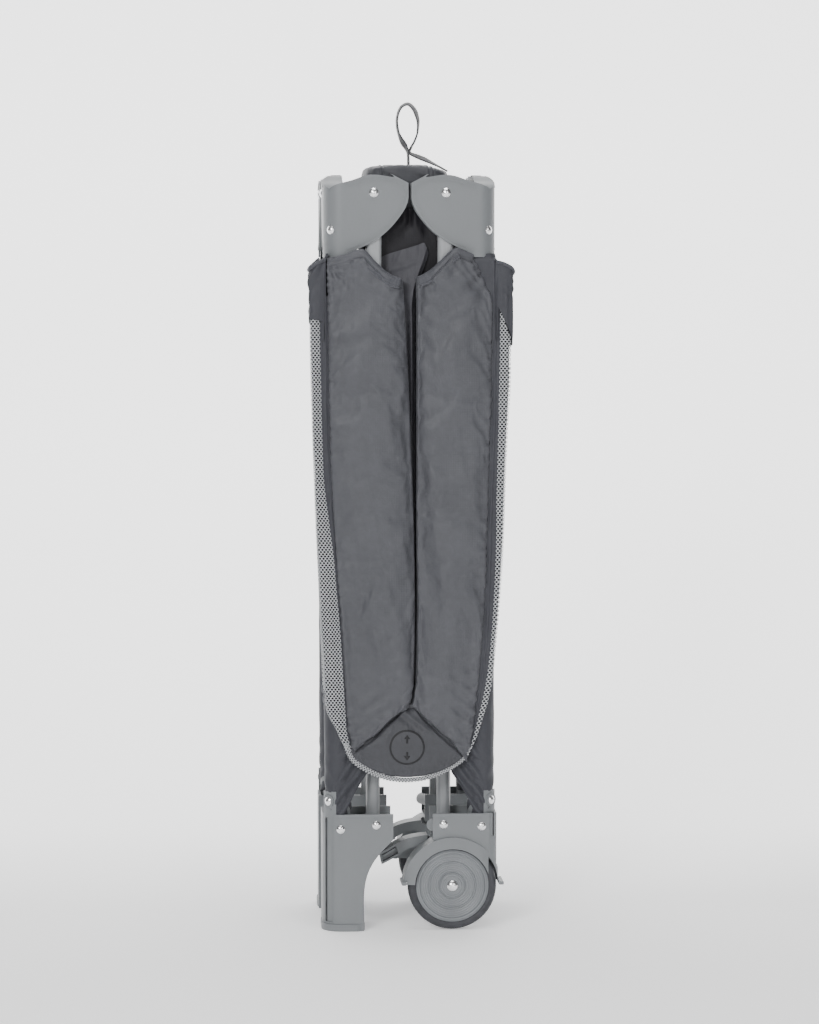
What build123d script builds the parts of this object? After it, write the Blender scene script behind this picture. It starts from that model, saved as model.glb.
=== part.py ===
from build123d import *
import os
from math import asin, atan2, cos, degrees, pi, radians, sin, sqrt

os.makedirs("parts", exist_ok=True)

# Folding travel playpen, modelled folded and standing upright.
# Frame: +X right, -Y the long side that carries the panel pair, +Z up, origin on
# the floor under the middle of the folded bundle. Millimetres.

# ---------------------------------------------------------------- driving sizes
POST_U = 72.0  # post centre from the middle, both ways
POST_R = 9.5
POST_WALL = 1.2
BUNDLE = 86.0  # outer face of the corner housings from the middle
PLATE = 3.0  # moulded wall
WING = 20.0  # thickness of a housing wing
HOUSING_Z0 = 679.0
RAIL_PIVOT_U = 36.0
RAIL_PIVOT_Z = 743.0
RAIL_Y = 76.0  # rail tube centre plane
RAIL_H = 16.0  # rail tube section, height
RAIL_T = 12.0  # rail tube section, thickness
RAIL_WALL = 1.2
LONG_HALF = 540.0  # pin to pin
SHORT_HALF = 240.0  # pin to pin
ARM_LEN = sqrt(LONG_HALF**2 + SHORT_HALF**2)
ARM_DIR = atan2(SHORT_HALF, LONG_HALF)  # plan direction of a base arm from +X
ARM_U = 36.0  # arm pivot plan position
ARM_V = 54.0
ARM_Z = 107.0  # arm pivot height on the foot
ARM_R = 7.0
ARM_WALL = 1.2
HUB_Z = ARM_Z + ARM_LEN
PIN_R = 3.0
PIN_GAP = 0.05  # radial running clearance of every pivot
FOOT_TOP = 119.0
EAR_TOP = 142.0
FOOT_OUT = 88.0
FOOT_IN = 34.0  # inner face of a foot box
WHEEL_X = 43.0
WHEEL_Z = 45.0
WHEEL_V = 77.0
WHEEL_R = 45.0
WHEEL_W = 20.0
RIM_R = 37.0
AXLE_R = 4.0
LATCH_PIN = 36.0
LONG_LATCH_Z = RAIL_PIVOT_Z - LONG_HALF
SHORT_LATCH_Z = RAIL_PIVOT_Z - SHORT_HALF
BUTTON_R = 12.0
LEVER_X = 35.5
LEVER_Z = 74.0

CORNERS = {"fl": (-1, -1), "fr": (1, -1), "rl": (-1, 1), "rr": (1, 1)}


def slab_y(v0, v1, sy):
    """Plane and depth of a slab between v0 and v1 from the middle, on side sy of Y."""
    return (Plane.XZ.offset(v0) if sy < 0 else Plane.XZ.offset(-v1)), v1 - v0


def slab_x(u0, u1, sx):
    """The same across X."""
    return (Plane.YZ.offset(u0) if sx > 0 else Plane.YZ.offset(-u1)), u1 - u0


def leaf(s):
    """Outline of a housing wing seen square on: arched top, pointed tip, bowed lower edge."""
    with BuildLine() as line:
        Line((s * 86, HOUSING_Z0), (s * 86, 735))
        Spline(
            (s * 86, 735),
            (s * 84.2, 742.5),
            (s * 78, 748.5),
            (s * 58, 755.2),
            (s * 32, 760.5),
            (s * 16, 759),
            (s * 1.5, 752.5),
            tangents=((0, 1), (-s * 1, -0.52)),
        )
        Line((s * 1.5, 752.5), (s * 1.5, 738))
        Spline(
            (s * 1.5, 738),
            (s * 9.5, 720),
            (s * 24, 703.5),
            (s * 42, 691.5),
            (s * 64, 682.5),
            (s * 86, HOUSING_Z0),
            tangents=((0.12 * s, -1), (s * 1, -0.08)),
        )
    return line


def arm_pin_plane(sx, sy, z):
    """Plane square to an arm's pivot pin, through the arm's axis, facing outwards."""
    return Plane(
        origin=(sx * ARM_U, sy * ARM_V, z),
        z_dir=(-sx * sin(ARM_DIR), sy * cos(ARM_DIR), 0),
    )


def dome_mid(a, z_edge, z_top):
    """Middle point of a dome's arc, from radius a at z_edge to the axis at z_top."""
    h = z_top - z_edge
    big = (a * a + h * h) / (2 * abs(h))
    half = asin(a / big) / 2
    up = 1 if h > 0 else -1
    return big * sin(half), z_top - up * big + up * big * cos(half)


def dome_rivet(head_r, head_h, shank_r, depth):
    """Domed rivet along +Z: its seat at z = 0, the shank below it."""
    with BuildPart() as rivet:
        with BuildSketch(Plane.XZ):
            with BuildLine():
                if depth > 0:
                    Line((0, -depth), (shank_r, -depth))
                    Line((shank_r, -depth), (shank_r, 0))
                    Line((shank_r, 0), (head_r, 0))
                else:
                    Line((0, 0), (head_r, 0))
                Line((head_r, 0), (head_r, head_h * 0.2))
                ThreePointArc(
                    (head_r, head_h * 0.2),
                    dome_mid(head_r, head_h * 0.2, head_h),
                    (0, head_h),
                )
                Line((0, head_h), (0, -depth))
            make_face()
        revolve(axis=Axis.Z)
    return rivet.part


def two_head_pin(r, length, head_r, head_h):
    """Pivot pin along +Z from 0 to length with a domed head beyond each end."""
    with BuildPart() as pin:
        with BuildSketch(Plane.XZ):
            with BuildLine():
                Line((0, -head_h), (0, length + head_h))
                ThreePointArc(
                    (0, length + head_h),
                    dome_mid(head_r, length + head_h * 0.15, length + head_h),
                    (head_r, length + head_h * 0.15),
                )
                Line((head_r, length + head_h * 0.15), (head_r, length))
                Line((head_r, length), (r, length))
                Line((r, length), (r, 0))
                Line((r, 0), (head_r, 0))
                Line((head_r, 0), (head_r, -head_h * 0.15))
                ThreePointArc(
                    (head_r, -head_h * 0.15),
                    dome_mid(head_r, -head_h * 0.15, -head_h),
                    (0, -head_h),
                )
            make_face()
        revolve(axis=Axis.Z)
    return pin.part


def placed(shape, origin, z_dir):
    """A shape made along +Z, moved so that its Z runs along z_dir from origin."""
    return Plane(origin=origin, z_dir=z_dir).location * shape


# ---------------------------------------------------------------- corner housings
def make_housing(sx, sy):
    with BuildPart() as housing:
        # front/back wing, then side wing
        plane, depth = slab_y(BUNDLE - WING, BUNDLE, sy)
        with BuildSketch(plane):
            add(leaf(sx))
            make_face()
        extrude(amount=depth)
        plane, depth = slab_x(BUNDLE - WING, BUNDLE, sx)
        with BuildSketch(plane):
            add(leaf(sy))
            make_face()
        extrude(amount=depth)
        # socket block round the post
        with BuildSketch(Plane.XY.offset(HOUSING_Z0)):
            with Locations((sx * 72, sy * 72)):
                Rectangle(28, 28)
        extrude(amount=66)
        # rounded outer corner
        with BuildSketch(Plane.XY.offset(HOUSING_Z0 - 5)):
            with Locations((sx * 11, sy * 11)):
                RectangleRounded(150, 150, 19)
        extrude(amount=100, mode=Mode.INTERSECT)
        # top outer edge of the side wing is well rounded
        plane, depth = slab_y(-7, BUNDLE + 6, sy)
        with BuildSketch(plane):
            with BuildLine():
                Line((sx * 76.2, 772), (sx * 76.2, 761.3))
                RadiusArc((sx * 76.2, 761.3), (sx * 86.4, 751.1), 10.2 * sx)
                Line((sx * 86.4, 751.1), (sx * 99, 751.1))
                Line((sx * 99, 751.1), (sx * 99, 772))
                Line((sx * 99, 772), (sx * 76.2, 772))
            make_face()
        extrude(amount=depth, mode=Mode.SUBTRACT)
        # wing cavities, open below and at the tip
        for side in (0, 1):
            plane, depth = (
                slab_y(BUNDLE - WING + PLATE, BUNDLE - PLATE, sy)
                if side == 0
                else slab_x(BUNDLE - WING + PLATE, BUNDLE - PLATE, sx)
            )
            s = sx if side == 0 else sy
            with BuildSketch(plane):
                with BuildLine():
                    Polyline(
                        (s * 57.5, 670),
                        (s * 57.5, 751.5),
                        (s * 32, 757),
                        (s * 13, 755.8),
                        (s * 13, 775),
                        (s * -6, 775),
                        (s * -6, 670),
                        close=True,
                    )
                make_face()
            extrude(amount=depth, mode=Mode.SUBTRACT)
        # bore for the post
        with BuildSketch(Plane.XY.offset(HOUSING_Z0 - 1)):
            with Locations((sx * POST_U, sy * POST_U)):
                Circle(POST_R + 0.15)
        extrude(amount=61, mode=Mode.SUBTRACT)
        # bores for the rail pins
        for side in (0, 1):
            plane, depth = (
                slab_y(BUNDLE - WING - 1, BUNDLE + 1, sy)
                if side == 0
                else slab_x(BUNDLE - WING - 1, BUNDLE + 1, sx)
            )
            s = sx if side == 0 else sy
            with BuildSketch(plane):
                with Locations((s * RAIL_PIVOT_U, RAIL_PIVOT_Z)):
                    Circle(PIN_R + 0.1)
            extrude(amount=depth, mode=Mode.SUBTRACT)
        # raised bead just inside the curved edges of both wings
        for side in (0, 1):
            plane, depth = (
                slab_y(BUNDLE - 0.4, BUNDLE + 0.7, sy)
                if side == 0
                else slab_x(BUNDLE - 0.4, BUNDLE + 0.7, sx)
            )
            s = sx if side == 0 else sy
            with BuildSketch(plane):
                with BuildLine():
                    Spline(
                        (s * 66, 748.8),
                        (s * 34, 756.3),
                        (s * 16, 754.6),
                        (s * 5.5, 749.2),
                        (s * 5.0, 739),
                        (s * 12.6, 722),
                        (s * 26, 707),
                        (s * 43.5, 695.2),
                        (s * 64, 686.8),
                    )
                trace(line_width=1.6)
            extrude(amount=depth)
        with BuildSketch(Plane.XY.offset(HOUSING_Z0 - 5)):
            with Locations((sx * 11.4, sy * 11.4)):
                RectangleRounded(150.6, 150.6, 19.3)
        extrude(amount=100, mode=Mode.INTERSECT)
    return housing


def foot_rivet(sx):
    """Distance out and height of the rivet that fixes a post in its foot."""
    return (70.0, 104.0) if sx < 0 else (72.5, 106.0)


def ear_boss_plane(sx, sy):
    """Plane across the rounded corner, facing outwards, at the ear's rivet."""
    d = 67 + 20 * 0.7071
    return Plane(origin=(sx * d, sy * d, 132), x_dir=(-sy, sx, 0), z_dir=(sx, sy, 0))


# ---------------------------------------------------------------- posts
def make_post(sx, sy, z0):
    with BuildPart() as post:
        with BuildSketch(Plane.XY.offset(z0)):
            with Locations((sx * POST_U, sy * POST_U)):
                Circle(POST_R)
                Circle(POST_R - POST_WALL, mode=Mode.SUBTRACT)
        extrude(amount=HOUSING_Z0 + 58 - z0)
        # rivet hole at the foot
        plane, depth = slab_y(60, 90, sy)
        with BuildSketch(plane):
            with Locations((sx * foot_rivet(sx)[0], foot_rivet(sx)[1])):
                Circle(2.1)
        extrude(amount=depth, mode=Mode.SUBTRACT)
    return post


for name, (sx, sy) in CORNERS.items():
    housing = make_housing(sx, sy)
    housing.part.label = f"corner_housing_{name}"
    export_step(housing.part, f"parts/corner_housing_{name}.step")
    post = make_post(sx, sy, 12 if sx < 0 else 99)
    post.part.label = f"post_{name}"
    export_step(post.part, f"parts/post_{name}.step")


# ---------------------------------------------------------------- feet
def foot_profile(s, inset=0.0):
    """Front outline of a leg foot: a box above, sweeping in to a narrow leg."""
    i = inset
    with BuildLine() as line:
        Line((s * (88 - i), 0 + i * 3), (s * (88 - i), FOOT_TOP + (0 if i == 0 else 3)))
        Line(
            (s * (88 - i), FOOT_TOP + (0 if i == 0 else 3)),
            (s * (17 - i * 3), FOOT_TOP + (0 if i == 0 else 3)),
        )
        Line((s * (17 - i * 3), FOOT_TOP + (0 if i == 0 else 3)), (s * (17 - i * 3), 93 + i))
        Spline(
            (s * (17 - i * 3), 93 + i),
            (s * (20 + i * 0.6), 90 + i * 0.8),
            (s * (37 + i * 0.9), 70 + i * 0.5),
            (s * (44 + i), 54),
            (s * (46.5 + i), 34),
            (s * (46.5 + i), 0 + i * 3),
        )
        Line((s * (46.5 + i), 0 + i * 3), (s * (88 - i), 0 + i * 3))
    return line


def make_leg_foot(sx, sy):
    with BuildPart() as foot:
        plane, depth = slab_y(FOOT_IN, FOOT_OUT, sy)
        with BuildSketch(plane):
            add(foot_profile(sx))
            make_face()
        extrude(amount=depth)
        # rounded outer corner, all the way down
        with BuildSketch(Plane.XY):
            with Locations((sx * 38, sy * 38)):
                RectangleRounded(100, 100, 21)
        extrude(amount=FOOT_TOP + 5, mode=Mode.INTERSECT)
        # hollow, open at the top and at the inner end where the arm comes out
        plane, depth = slab_y(FOOT_IN + PLATE, FOOT_OUT - PLATE, sy)
        with BuildSketch(plane):
            add(foot_profile(sx, PLATE))
            make_face()
        extrude(amount=depth, mode=Mode.SUBTRACT)
        # post socket standing in the hollow
        with BuildSketch(Plane.XY.offset(6)):
            with Locations((sx * POST_U, sy * POST_U)):
                Circle(POST_R + 3.2)
        extrude(amount=FOOT_TOP - 6)
        # ear round the post above the rim
        with BuildSketch(Plane.XY.offset(FOOT_TOP - 4)):
            with Locations((sx * 38, sy * 38)):
                RectangleRounded(100, 100, 21)
            with Locations((sx * 38, sy * 38)):
                RectangleRounded(94, 94, 18, mode=Mode.SUBTRACT)
            with Locations((sx * 24.5, sy * 38)):
                Rectangle(100, 120, mode=Mode.SUBTRACT)
            with Locations((sx * 38, sy * 24.5)):
                Rectangle(120, 100, mode=Mode.SUBTRACT)
        extrude(amount=EAR_TOP - FOOT_TOP + 4)
        # stand-off that ties the ear to the post socket
        with BuildSketch(Plane.XY.offset(FOOT_TOP - 4)):
            with Locations((sx * POST_U, sy * POST_U)):
                Circle(POST_R + 3.2)
        extrude(amount=EAR_TOP - FOOT_TOP + 2)
        with BuildSketch(Plane.XY.offset(12)):
            with Locations((sx * POST_U, sy * POST_U)):
                Circle(POST_R + 0.15)
        extrude(amount=140, mode=Mode.SUBTRACT)
        # rim band, lower lip and the small nub on the outer side
        plane, depth = slab_y(FOOT_OUT - 0.5, FOOT_OUT + 0.9, sy)
        with BuildSketch(plane):
            with Locations((sx * 47, FOOT_TOP - 1.6)):
                Rectangle(60, 3.2)
        extrude(amount=depth)
        with BuildSketch(Plane.XY):
            with Locations((sx * 67.25, sy * 64.5)):
                RectangleRounded(43.5, 49.5, 9)
        extrude(amount=7)
        # keep the lip inside its own outline
        with BuildSketch(Plane.XY.offset(-1)):
            with Locations((sx * 38.6, sy * 38.6)):
                RectangleRounded(101.2, 101.2, 21.4)
        extrude(amount=160, mode=Mode.INTERSECT)
        # round boss under the ear's rivet head
        with BuildSketch(ear_boss_plane(sx, sy)):
            Circle(6.6)
        extrude(amount=2.1)
        # bosses either side of the arm, and the bores
        pin_plane = arm_pin_plane(sx, sy, ARM_Z)
        for t0, t1 in ((8, 33), (-17.6, -8)):
            with BuildSketch(pin_plane.offset(t0)):
                Circle(6)
            extrude(amount=t1 - t0)
        with BuildSketch(pin_plane.offset(-16.5)):
            Circle(PIN_R + 0.1)
        extrude(amount=48, mode=Mode.SUBTRACT)
        plane, depth = slab_y(60, 92, sy)
        with BuildSketch(plane):
            with Locations((sx * foot_rivet(sx)[0], foot_rivet(sx)[1])):
                Circle(2.1)
        extrude(amount=depth, mode=Mode.SUBTRACT)
    return foot


def make_wheel_foot(sx, sy):
    with BuildPart() as foot:
        # box over the wheel
        plane, depth = slab_y(FOOT_IN, FOOT_OUT, sy)
        with BuildSketch(plane):
            with BuildLine():
                Polyline(
                    (sx * 88, FOOT_TOP),
                    (sx * 23, FOOT_TOP),
                    (sx * 23, 92.0),
                    (sx * 30, 88.5),
                    (sx * 88, 60),
                    close=True,
                )
            make_face()
        extrude(amount=depth)
        # side web that carries the axle, behind the wheel
        plane, depth = slab_y(FOOT_IN + 8, 64.5, sy)
        with BuildSketch(plane):
            with BuildLine():
                Polyline(
                    (sx * 88, 95),
                    (sx * 24, 95),
                    (sx * 26, 70),
                    (sx * 33, 30),
                    (sx * 53, 30),
                    (sx * 80, 50),
                    (sx * 88, 52),
                    close=True,
                )
            make_face()
        extrude(amount=depth)
        # fender drum over the wheel
        plane, depth = slab_y(61.5, 90.5, sy)
        with BuildSketch(plane):
            with Locations((sx * WHEEL_X, WHEEL_Z)):
                Circle(50)
            with BuildLine():
                Polyline(
                    (sx * -20, 47),
                    (sx * 120, 47),
                    (sx * 120, -20),
                    (sx * -20, -20),
                    close=True,
                )
            make_face(mode=Mode.SUBTRACT)
        extrude(amount=depth)
        with BuildSketch(Plane.XY):
            with Locations((sx * 38, sy * 38)):
                RectangleRounded(105.2, 105.2, 21)
        extrude(amount=160, mode=Mode.INTERSECT)
        # wheel well: room for the tyre, and a round window for the disc
        plane, depth = slab_y(65.5, 88.2, sy)
        with BuildSketch(plane):
            with Locations((sx * WHEEL_X, WHEEL_Z)):
                Circle(WHEEL_R + 2)
        extrude(amount=depth, mode=Mode.SUBTRACT)
        plane, depth = slab_y(80, 95, sy)
        with BuildSketch(plane):
            with Locations((sx * WHEEL_X, WHEEL_Z)):
                Circle(38.2)
        extrude(amount=depth, mode=Mode.SUBTRACT)
        # hollow box, open above and at the inner end where the arm comes out
        plane, depth = slab_y(FOOT_IN + PLATE, FOOT_OUT - PLATE, sy)
        with BuildSketch(plane):
            with BuildLine():
                Polyline(
                    (sx * 85, FOOT_TOP + 3),
                    (sx * 12, FOOT_TOP + 3),
                    (sx * 12, 95.2),
                    (sx * 85, 95.2),
                    close=True,
                )
            make_face()
        extrude(amount=depth, mode=Mode.SUBTRACT)
        with BuildSketch(Plane.XY.offset(96)):
            with Locations((sx * POST_U, sy * POST_U)):
                Circle(POST_R + 3.2)
        extrude(amount=FOOT_TOP - 96)
        with BuildSketch(Plane.XY.offset(FOOT_TOP - 4)):
            with Locations((sx * 38, sy * 38)):
                RectangleRounded(100, 100, 21)
            with Locations((sx * 38, sy * 38)):
                RectangleRounded(94, 94, 18, mode=Mode.SUBTRACT)
            with Locations((sx * 24.5, sy * 38)):
                Rectangle(100, 120, mode=Mode.SUBTRACT)
            with Locations((sx * 38, sy * 24.5)):
                Rectangle(120, 100, mode=Mode.SUBTRACT)
        extrude(amount=EAR_TOP - FOOT_TOP + 4)
        with BuildSketch(Plane.XY.offset(FOOT_TOP - 4)):
            with Locations((sx * POST_U, sy * POST_U)):
                Circle(POST_R + 3.2)
        extrude(amount=EAR_TOP - FOOT_TOP + 2)
        with BuildSketch(Plane.XY.offset(99)):
            with Locations((sx * POST_U, sy * POST_U)):
                Circle(POST_R + 0.15)
        extrude(amount=60, mode=Mode.SUBTRACT)
        # rim band
        plane, depth = slab_y(FOOT_OUT - 0.5, FOOT_OUT + 0.9, sy)
        with BuildSketch(plane):
            with Locations((sx * 49.5, FOOT_TOP - 1.6)):
                Rectangle(52, 3.2)
        extrude(amount=depth)
        # flared ends of the fender
        plane, depth = slab_y(61.5, 90.5, sy)
        with BuildSketch(plane):
            with Locations((sx * (WHEEL_X - 49.2), 48.2), (sx * (WHEEL_X + 49.2), 48.2)):
                RectangleRounded(5.5, 3.4, 1.4)
        extrude(amount=depth)
        # round boss under the ear's rivet head
        with BuildSketch(ear_boss_plane(sx, sy)):
            Circle(6.6)
        extrude(amount=2.1)
        # bosses either side of the arm, and the bores
        pin_plane = arm_pin_plane(sx, sy, ARM_Z)
        for t0, t1 in ((8, 33), (-17.6, -8)):
            with BuildSketch(pin_plane.offset(t0)):
                Circle(6)
            extrude(amount=t1 - t0)
        with BuildSketch(pin_plane.offset(-16.5)):
            Circle(PIN_R + 0.1)
        extrude(amount=48, mode=Mode.SUBTRACT)
        plane, depth = slab_y(60, 92, sy)
        with BuildSketch(plane):
            with Locations((sx * foot_rivet(sx)[0], foot_rivet(sx)[1])):
                Circle(2.1)
        extrude(amount=depth, mode=Mode.SUBTRACT)
        plane, depth = slab_y(FOOT_IN - 2, 70, sy)
        with BuildSketch(plane):
            with Locations((sx * WHEEL_X, WHEEL_Z)):
                Circle(AXLE_R + 0.1)
        extrude(amount=depth, mode=Mode.SUBTRACT)
    return foot


for name, (sx, sy) in CORNERS.items():
    foot = make_leg_foot(sx, sy) if sx < 0 else make_wheel_foot(sx, sy)
    foot.part.label = f"foot_{name}"
    export_step(foot.part, f"parts/foot_{name}.step")


# ---------------------------------------------------------------- wheels and brakes
def make_rim(sy):
    with BuildPart() as rim:
        with BuildSketch(Plane.XY):
            with BuildLine():
                # radius along X, depth along Y from the wheel's middle, front face at +10
                Polyline(
                    (AXLE_R + PIN_GAP, -10),
                    (11, -10),
                    (11, -4),
                    (31, -2),
                    (31, -8.5),
                    (RIM_R, -8.5),
                    (RIM_R, 8.5),
                    (34.6, 9.6),
                    (33.2, 9.6),
                    (32.4, 7.4),
                    (24.4, 6.6),
                    (23.8, 7.2),
                    (22.8, 7.2),
                    (22.2, 6.4),
                    (13.4, 5.6),
                    (12.6, 7.4),
                    (8.6, 9.0),
                    (AXLE_R + PIN_GAP, 9.0),
                    close=True,
                )
            make_face()
        revolve(axis=Axis.Y)
    shape = rim.part
    # the profile's +Y is outwards: turn it to face the floor's front or back
    out = Pos(WHEEL_X, sy * WHEEL_V, WHEEL_Z) * (
        shape if sy > 0 else Rot(180, 0, 0) * shape
    )
    return out


def make_tyre(sy):
    with BuildPart() as tyre:
        with BuildSketch(Plane.XY):
            with BuildLine():
                Line((RIM_R + 0.02, -9.2), (RIM_R + 0.02, 9.2))
                Line((RIM_R + 0.02, 9.2), (39.5, 10))
                Spline(
                    (39.5, 10),
                    (43.4, 8.2),
                    (WHEEL_R - 0.15, 3.2),
                    (WHEEL_R - 0.15, -3.2),
                    (43.4, -8.2),
                    (39.5, -10),
                )
                Line((39.5, -10), (RIM_R + 0.02, -9.2))
            make_face()
        revolve(axis=Axis.Y)
    return Pos(WHEEL_X, sy * WHEEL_V, WHEEL_Z) * tyre.part


def make_lever(sy):
    with BuildPart() as lever:
        # flat lug that turns on the pin
        plane, depth = slab_y(35.2, 41.2, sy)
        with BuildSketch(plane):
            with BuildLine():
                Polyline(
                    (38, 67),
                    (38, 80),
                    (30, 85),
                    (16, 90.5),
                    (12, 81),
                    (24, 76.5),
                    (31, 67),
                    close=True,
                )
            make_face()
            with Locations((LEVER_X, LEVER_Z)):
                Circle(8.4)
        extrude(amount=depth)
        # curved arm, then the boxed finger pad
        plane, depth = slab_y(35.2, 56, sy)
        with BuildSketch(plane):
            with BuildLine():
                Spline((19.5, 91.8), (4, 89.8), (-9, 85.2), (-13, 82.6))
                Line((-13, 82.6), (-9.2, 72.6))
                Spline((-9.2, 72.6), (-2, 77), (8, 80.4), (19.5, 82.2))
                Line((19.5, 82.2), (19.5, 91.8))
            make_face()
        extrude(amount=depth)
        with BuildSketch(plane):
            with BuildLine():
                Polyline(
                    (-11, 84.6),
                    (-29.4, 73.4),
                    (-27, 62.2),
                    (-7.5, 72.4),
                    close=True,
                )
            make_face()
        extrude(amount=depth)
        # ribbed recess in the pad
        plane2, depth2 = slab_y(50.5, 57, sy)
        with BuildSketch(plane2):
            with BuildLine():
                Polyline(
                    (-12.2, 81.4),
                    (-27.4, 72.4),
                    (-25.4, 65.0),
                    (-10.2, 73.4),
                    close=True,
                )
            make_face()
        extrude(amount=depth2, mode=Mode.SUBTRACT)
        plane3, depth3 = slab_y(49.5, 53.5, sy)
        with BuildSketch(plane3):
            with BuildLine():
                Polyline(
                    (-13.4, 78.6), (-26.4, 71.0), (-25.7, 69.0), (-12.7, 76.6), close=True
                )
            make_face()
        extrude(amount=depth3)
        plane, depth = slab_y(30, 60, sy)
        with BuildSketch(plane):
            with Locations((LEVER_X, LEVER_Z)):
                Circle(PIN_R + PIN_GAP)
        extrude(amount=depth, mode=Mode.SUBTRACT)
    return lever


def make_axle(sy):
    with BuildPart() as axle:
        with BuildSketch(Plane.XY):
            with BuildLine():
                Polyline(
                    (0, 0),
                    (6.4, 0),
                    (6.4, 2.2),
                    (AXLE_R, 2.2),
                    (AXLE_R, 46.4),
                    (5.6, 46.4),
                    (5.6, 47.4),
                )
                ThreePointArc((5.6, 47.4), dome_mid(5.6, 47.4, 50), (0, 50))
                Line((0, 50), (0, 0))
            make_face()
        revolve(axis=Axis.Y)
    # from the inner face of the web to the domed cap outside the wheel
    if sy > 0:
        return Pos(WHEEL_X, 39.8, WHEEL_Z) * axle.part
    return Pos(WHEEL_X, -39.8, WHEEL_Z) * (Rot(180, 0, 0) * axle.part)


for side, sy in (("front", -1), ("back", 1)):
    rim = make_rim(sy)
    rim.label = f"wheel_rim_{side}"
    export_step(rim, f"parts/wheel_rim_{side}.step")
    tyre = make_tyre(sy)
    tyre.label = f"tyre_{side}"
    export_step(tyre, f"parts/tyre_{side}.step")
    axle = make_axle(sy)
    axle.label = f"axle_{side}"
    export_step(axle, f"parts/axle_{side}.step")
    lever = make_lever(sy)
    lever.part.label = f"brake_lever_{side}"
    export_step(lever.part, f"parts/brake_lever_{side}.step")


# ---------------------------------------------------------------- rails
def make_rail(axis_side, s, other, length):
    """Half rail. axis_side "y": long rail in the plane |y| = RAIL_Y, s the X side.
    axis_side "x": short rail in the plane |x| = RAIL_Y, s the Y side."""
    z0 = RAIL_PIVOT_Z - length
    with BuildPart() as rail:
        with BuildSketch(Plane.XY.offset(z0 - 9)):
            if axis_side == "y":
                centre = (s * RAIL_PIVOT_U, other * RAIL_Y)
                size = (RAIL_H, RAIL_T)
            else:
                centre = (other * RAIL_Y, s * RAIL_PIVOT_U)
                size = (RAIL_T, RAIL_H)
            with Locations(centre):
                RectangleRounded(size[0], size[1], 4.5)
                RectangleRounded(
                    size[0] - 2 * RAIL_WALL,
                    size[1] - 2 * RAIL_WALL,
                    4.5 - RAIL_WALL,
                    mode=Mode.SUBTRACT,
                )
        extrude(amount=length + 17)
        for z, r in ((RAIL_PIVOT_Z, PIN_R + PIN_GAP), (z0, PIN_R + PIN_GAP)):
            plane, depth = (
                slab_y(60, 95, other) if axis_side == "y" else slab_x(60, 95, other)
            )
            with BuildSketch(plane):
                with Locations((s * RAIL_PIVOT_U, z)):
                    Circle(r)
            extrude(amount=depth, mode=Mode.SUBTRACT)
    return rail


# ---------------------------------------------------------------- padded covers
def make_cover(axis_side, s, other, length):
    z0 = RAIL_PIVOT_Z - length
    with BuildPart() as cover:
        slab = slab_y if axis_side == "y" else slab_x
        if axis_side == "y":
            pts = [(1.8, 650), (24, 660), (47, 675), (56, 675.5)]
            low = [(56, z0 - 16), (50, z0 - 12), (1.8, z0 + 33)]
        else:
            pts = [(1.8, 650), (24, 660), (47, 675), (56, 675.5)]
            low = [(56, z0 - 13), (52, z0 - 13), (1.8, z0 + 33)]
        plane, depth = slab(62.5, 96.5, other)
        with BuildSketch(plane):
            with BuildLine():
                Polyline(*[(s * u, z) for u, z in pts + low], close=True)
            make_face()
        extrude(amount=depth)
        if axis_side == "y":
            # front panel running out over the post
            plane, depth = slab(86.9, 96.5, other)
            with BuildSketch(plane):
                with BuildLine():
                    Polyline(
                        (s * 50, 675),
                        (s * 84, 675.5),
                        (s * 82, 485),
                        (s * 77, 374),
                        (s * 72, 283),
                        (s * 65, 214),
                        (s * 56, 187),
                        (s * 50, 191),
                        close=True,
                    )
                make_face()
            extrude(amount=depth)
        # pocket round the latch
        plane, depth = slab(60, 89.6, other)
        with BuildSketch(plane):
            with BuildLine():
                Polyline(
                    (s * -5, z0 + 24),
                    (s * 60, z0 + 24),
                    (s * 60, z0 - 60),
                    (s * -5, z0 - 60),
                    close=True,
                )
            make_face()
        extrude(amount=depth, mode=Mode.SUBTRACT)
        # channel for the tube
        with BuildSketch(Plane.XY.offset(z0 - 60)):
            centre = (
                (s * RAIL_PIVOT_U, other * RAIL_Y)
                if axis_side == "y"
                else (other * RAIL_Y, s * RAIL_PIVOT_U)
            )
            size = (
                (RAIL_H + 0.8, RAIL_T + 0.8)
                if axis_side == "y"
                else (RAIL_T + 0.8, RAIL_H + 0.8)
            )
            with Locations(centre):
                Rectangle(*size)
        extrude(amount=length + 80, mode=Mode.SUBTRACT)
    return cover


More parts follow.
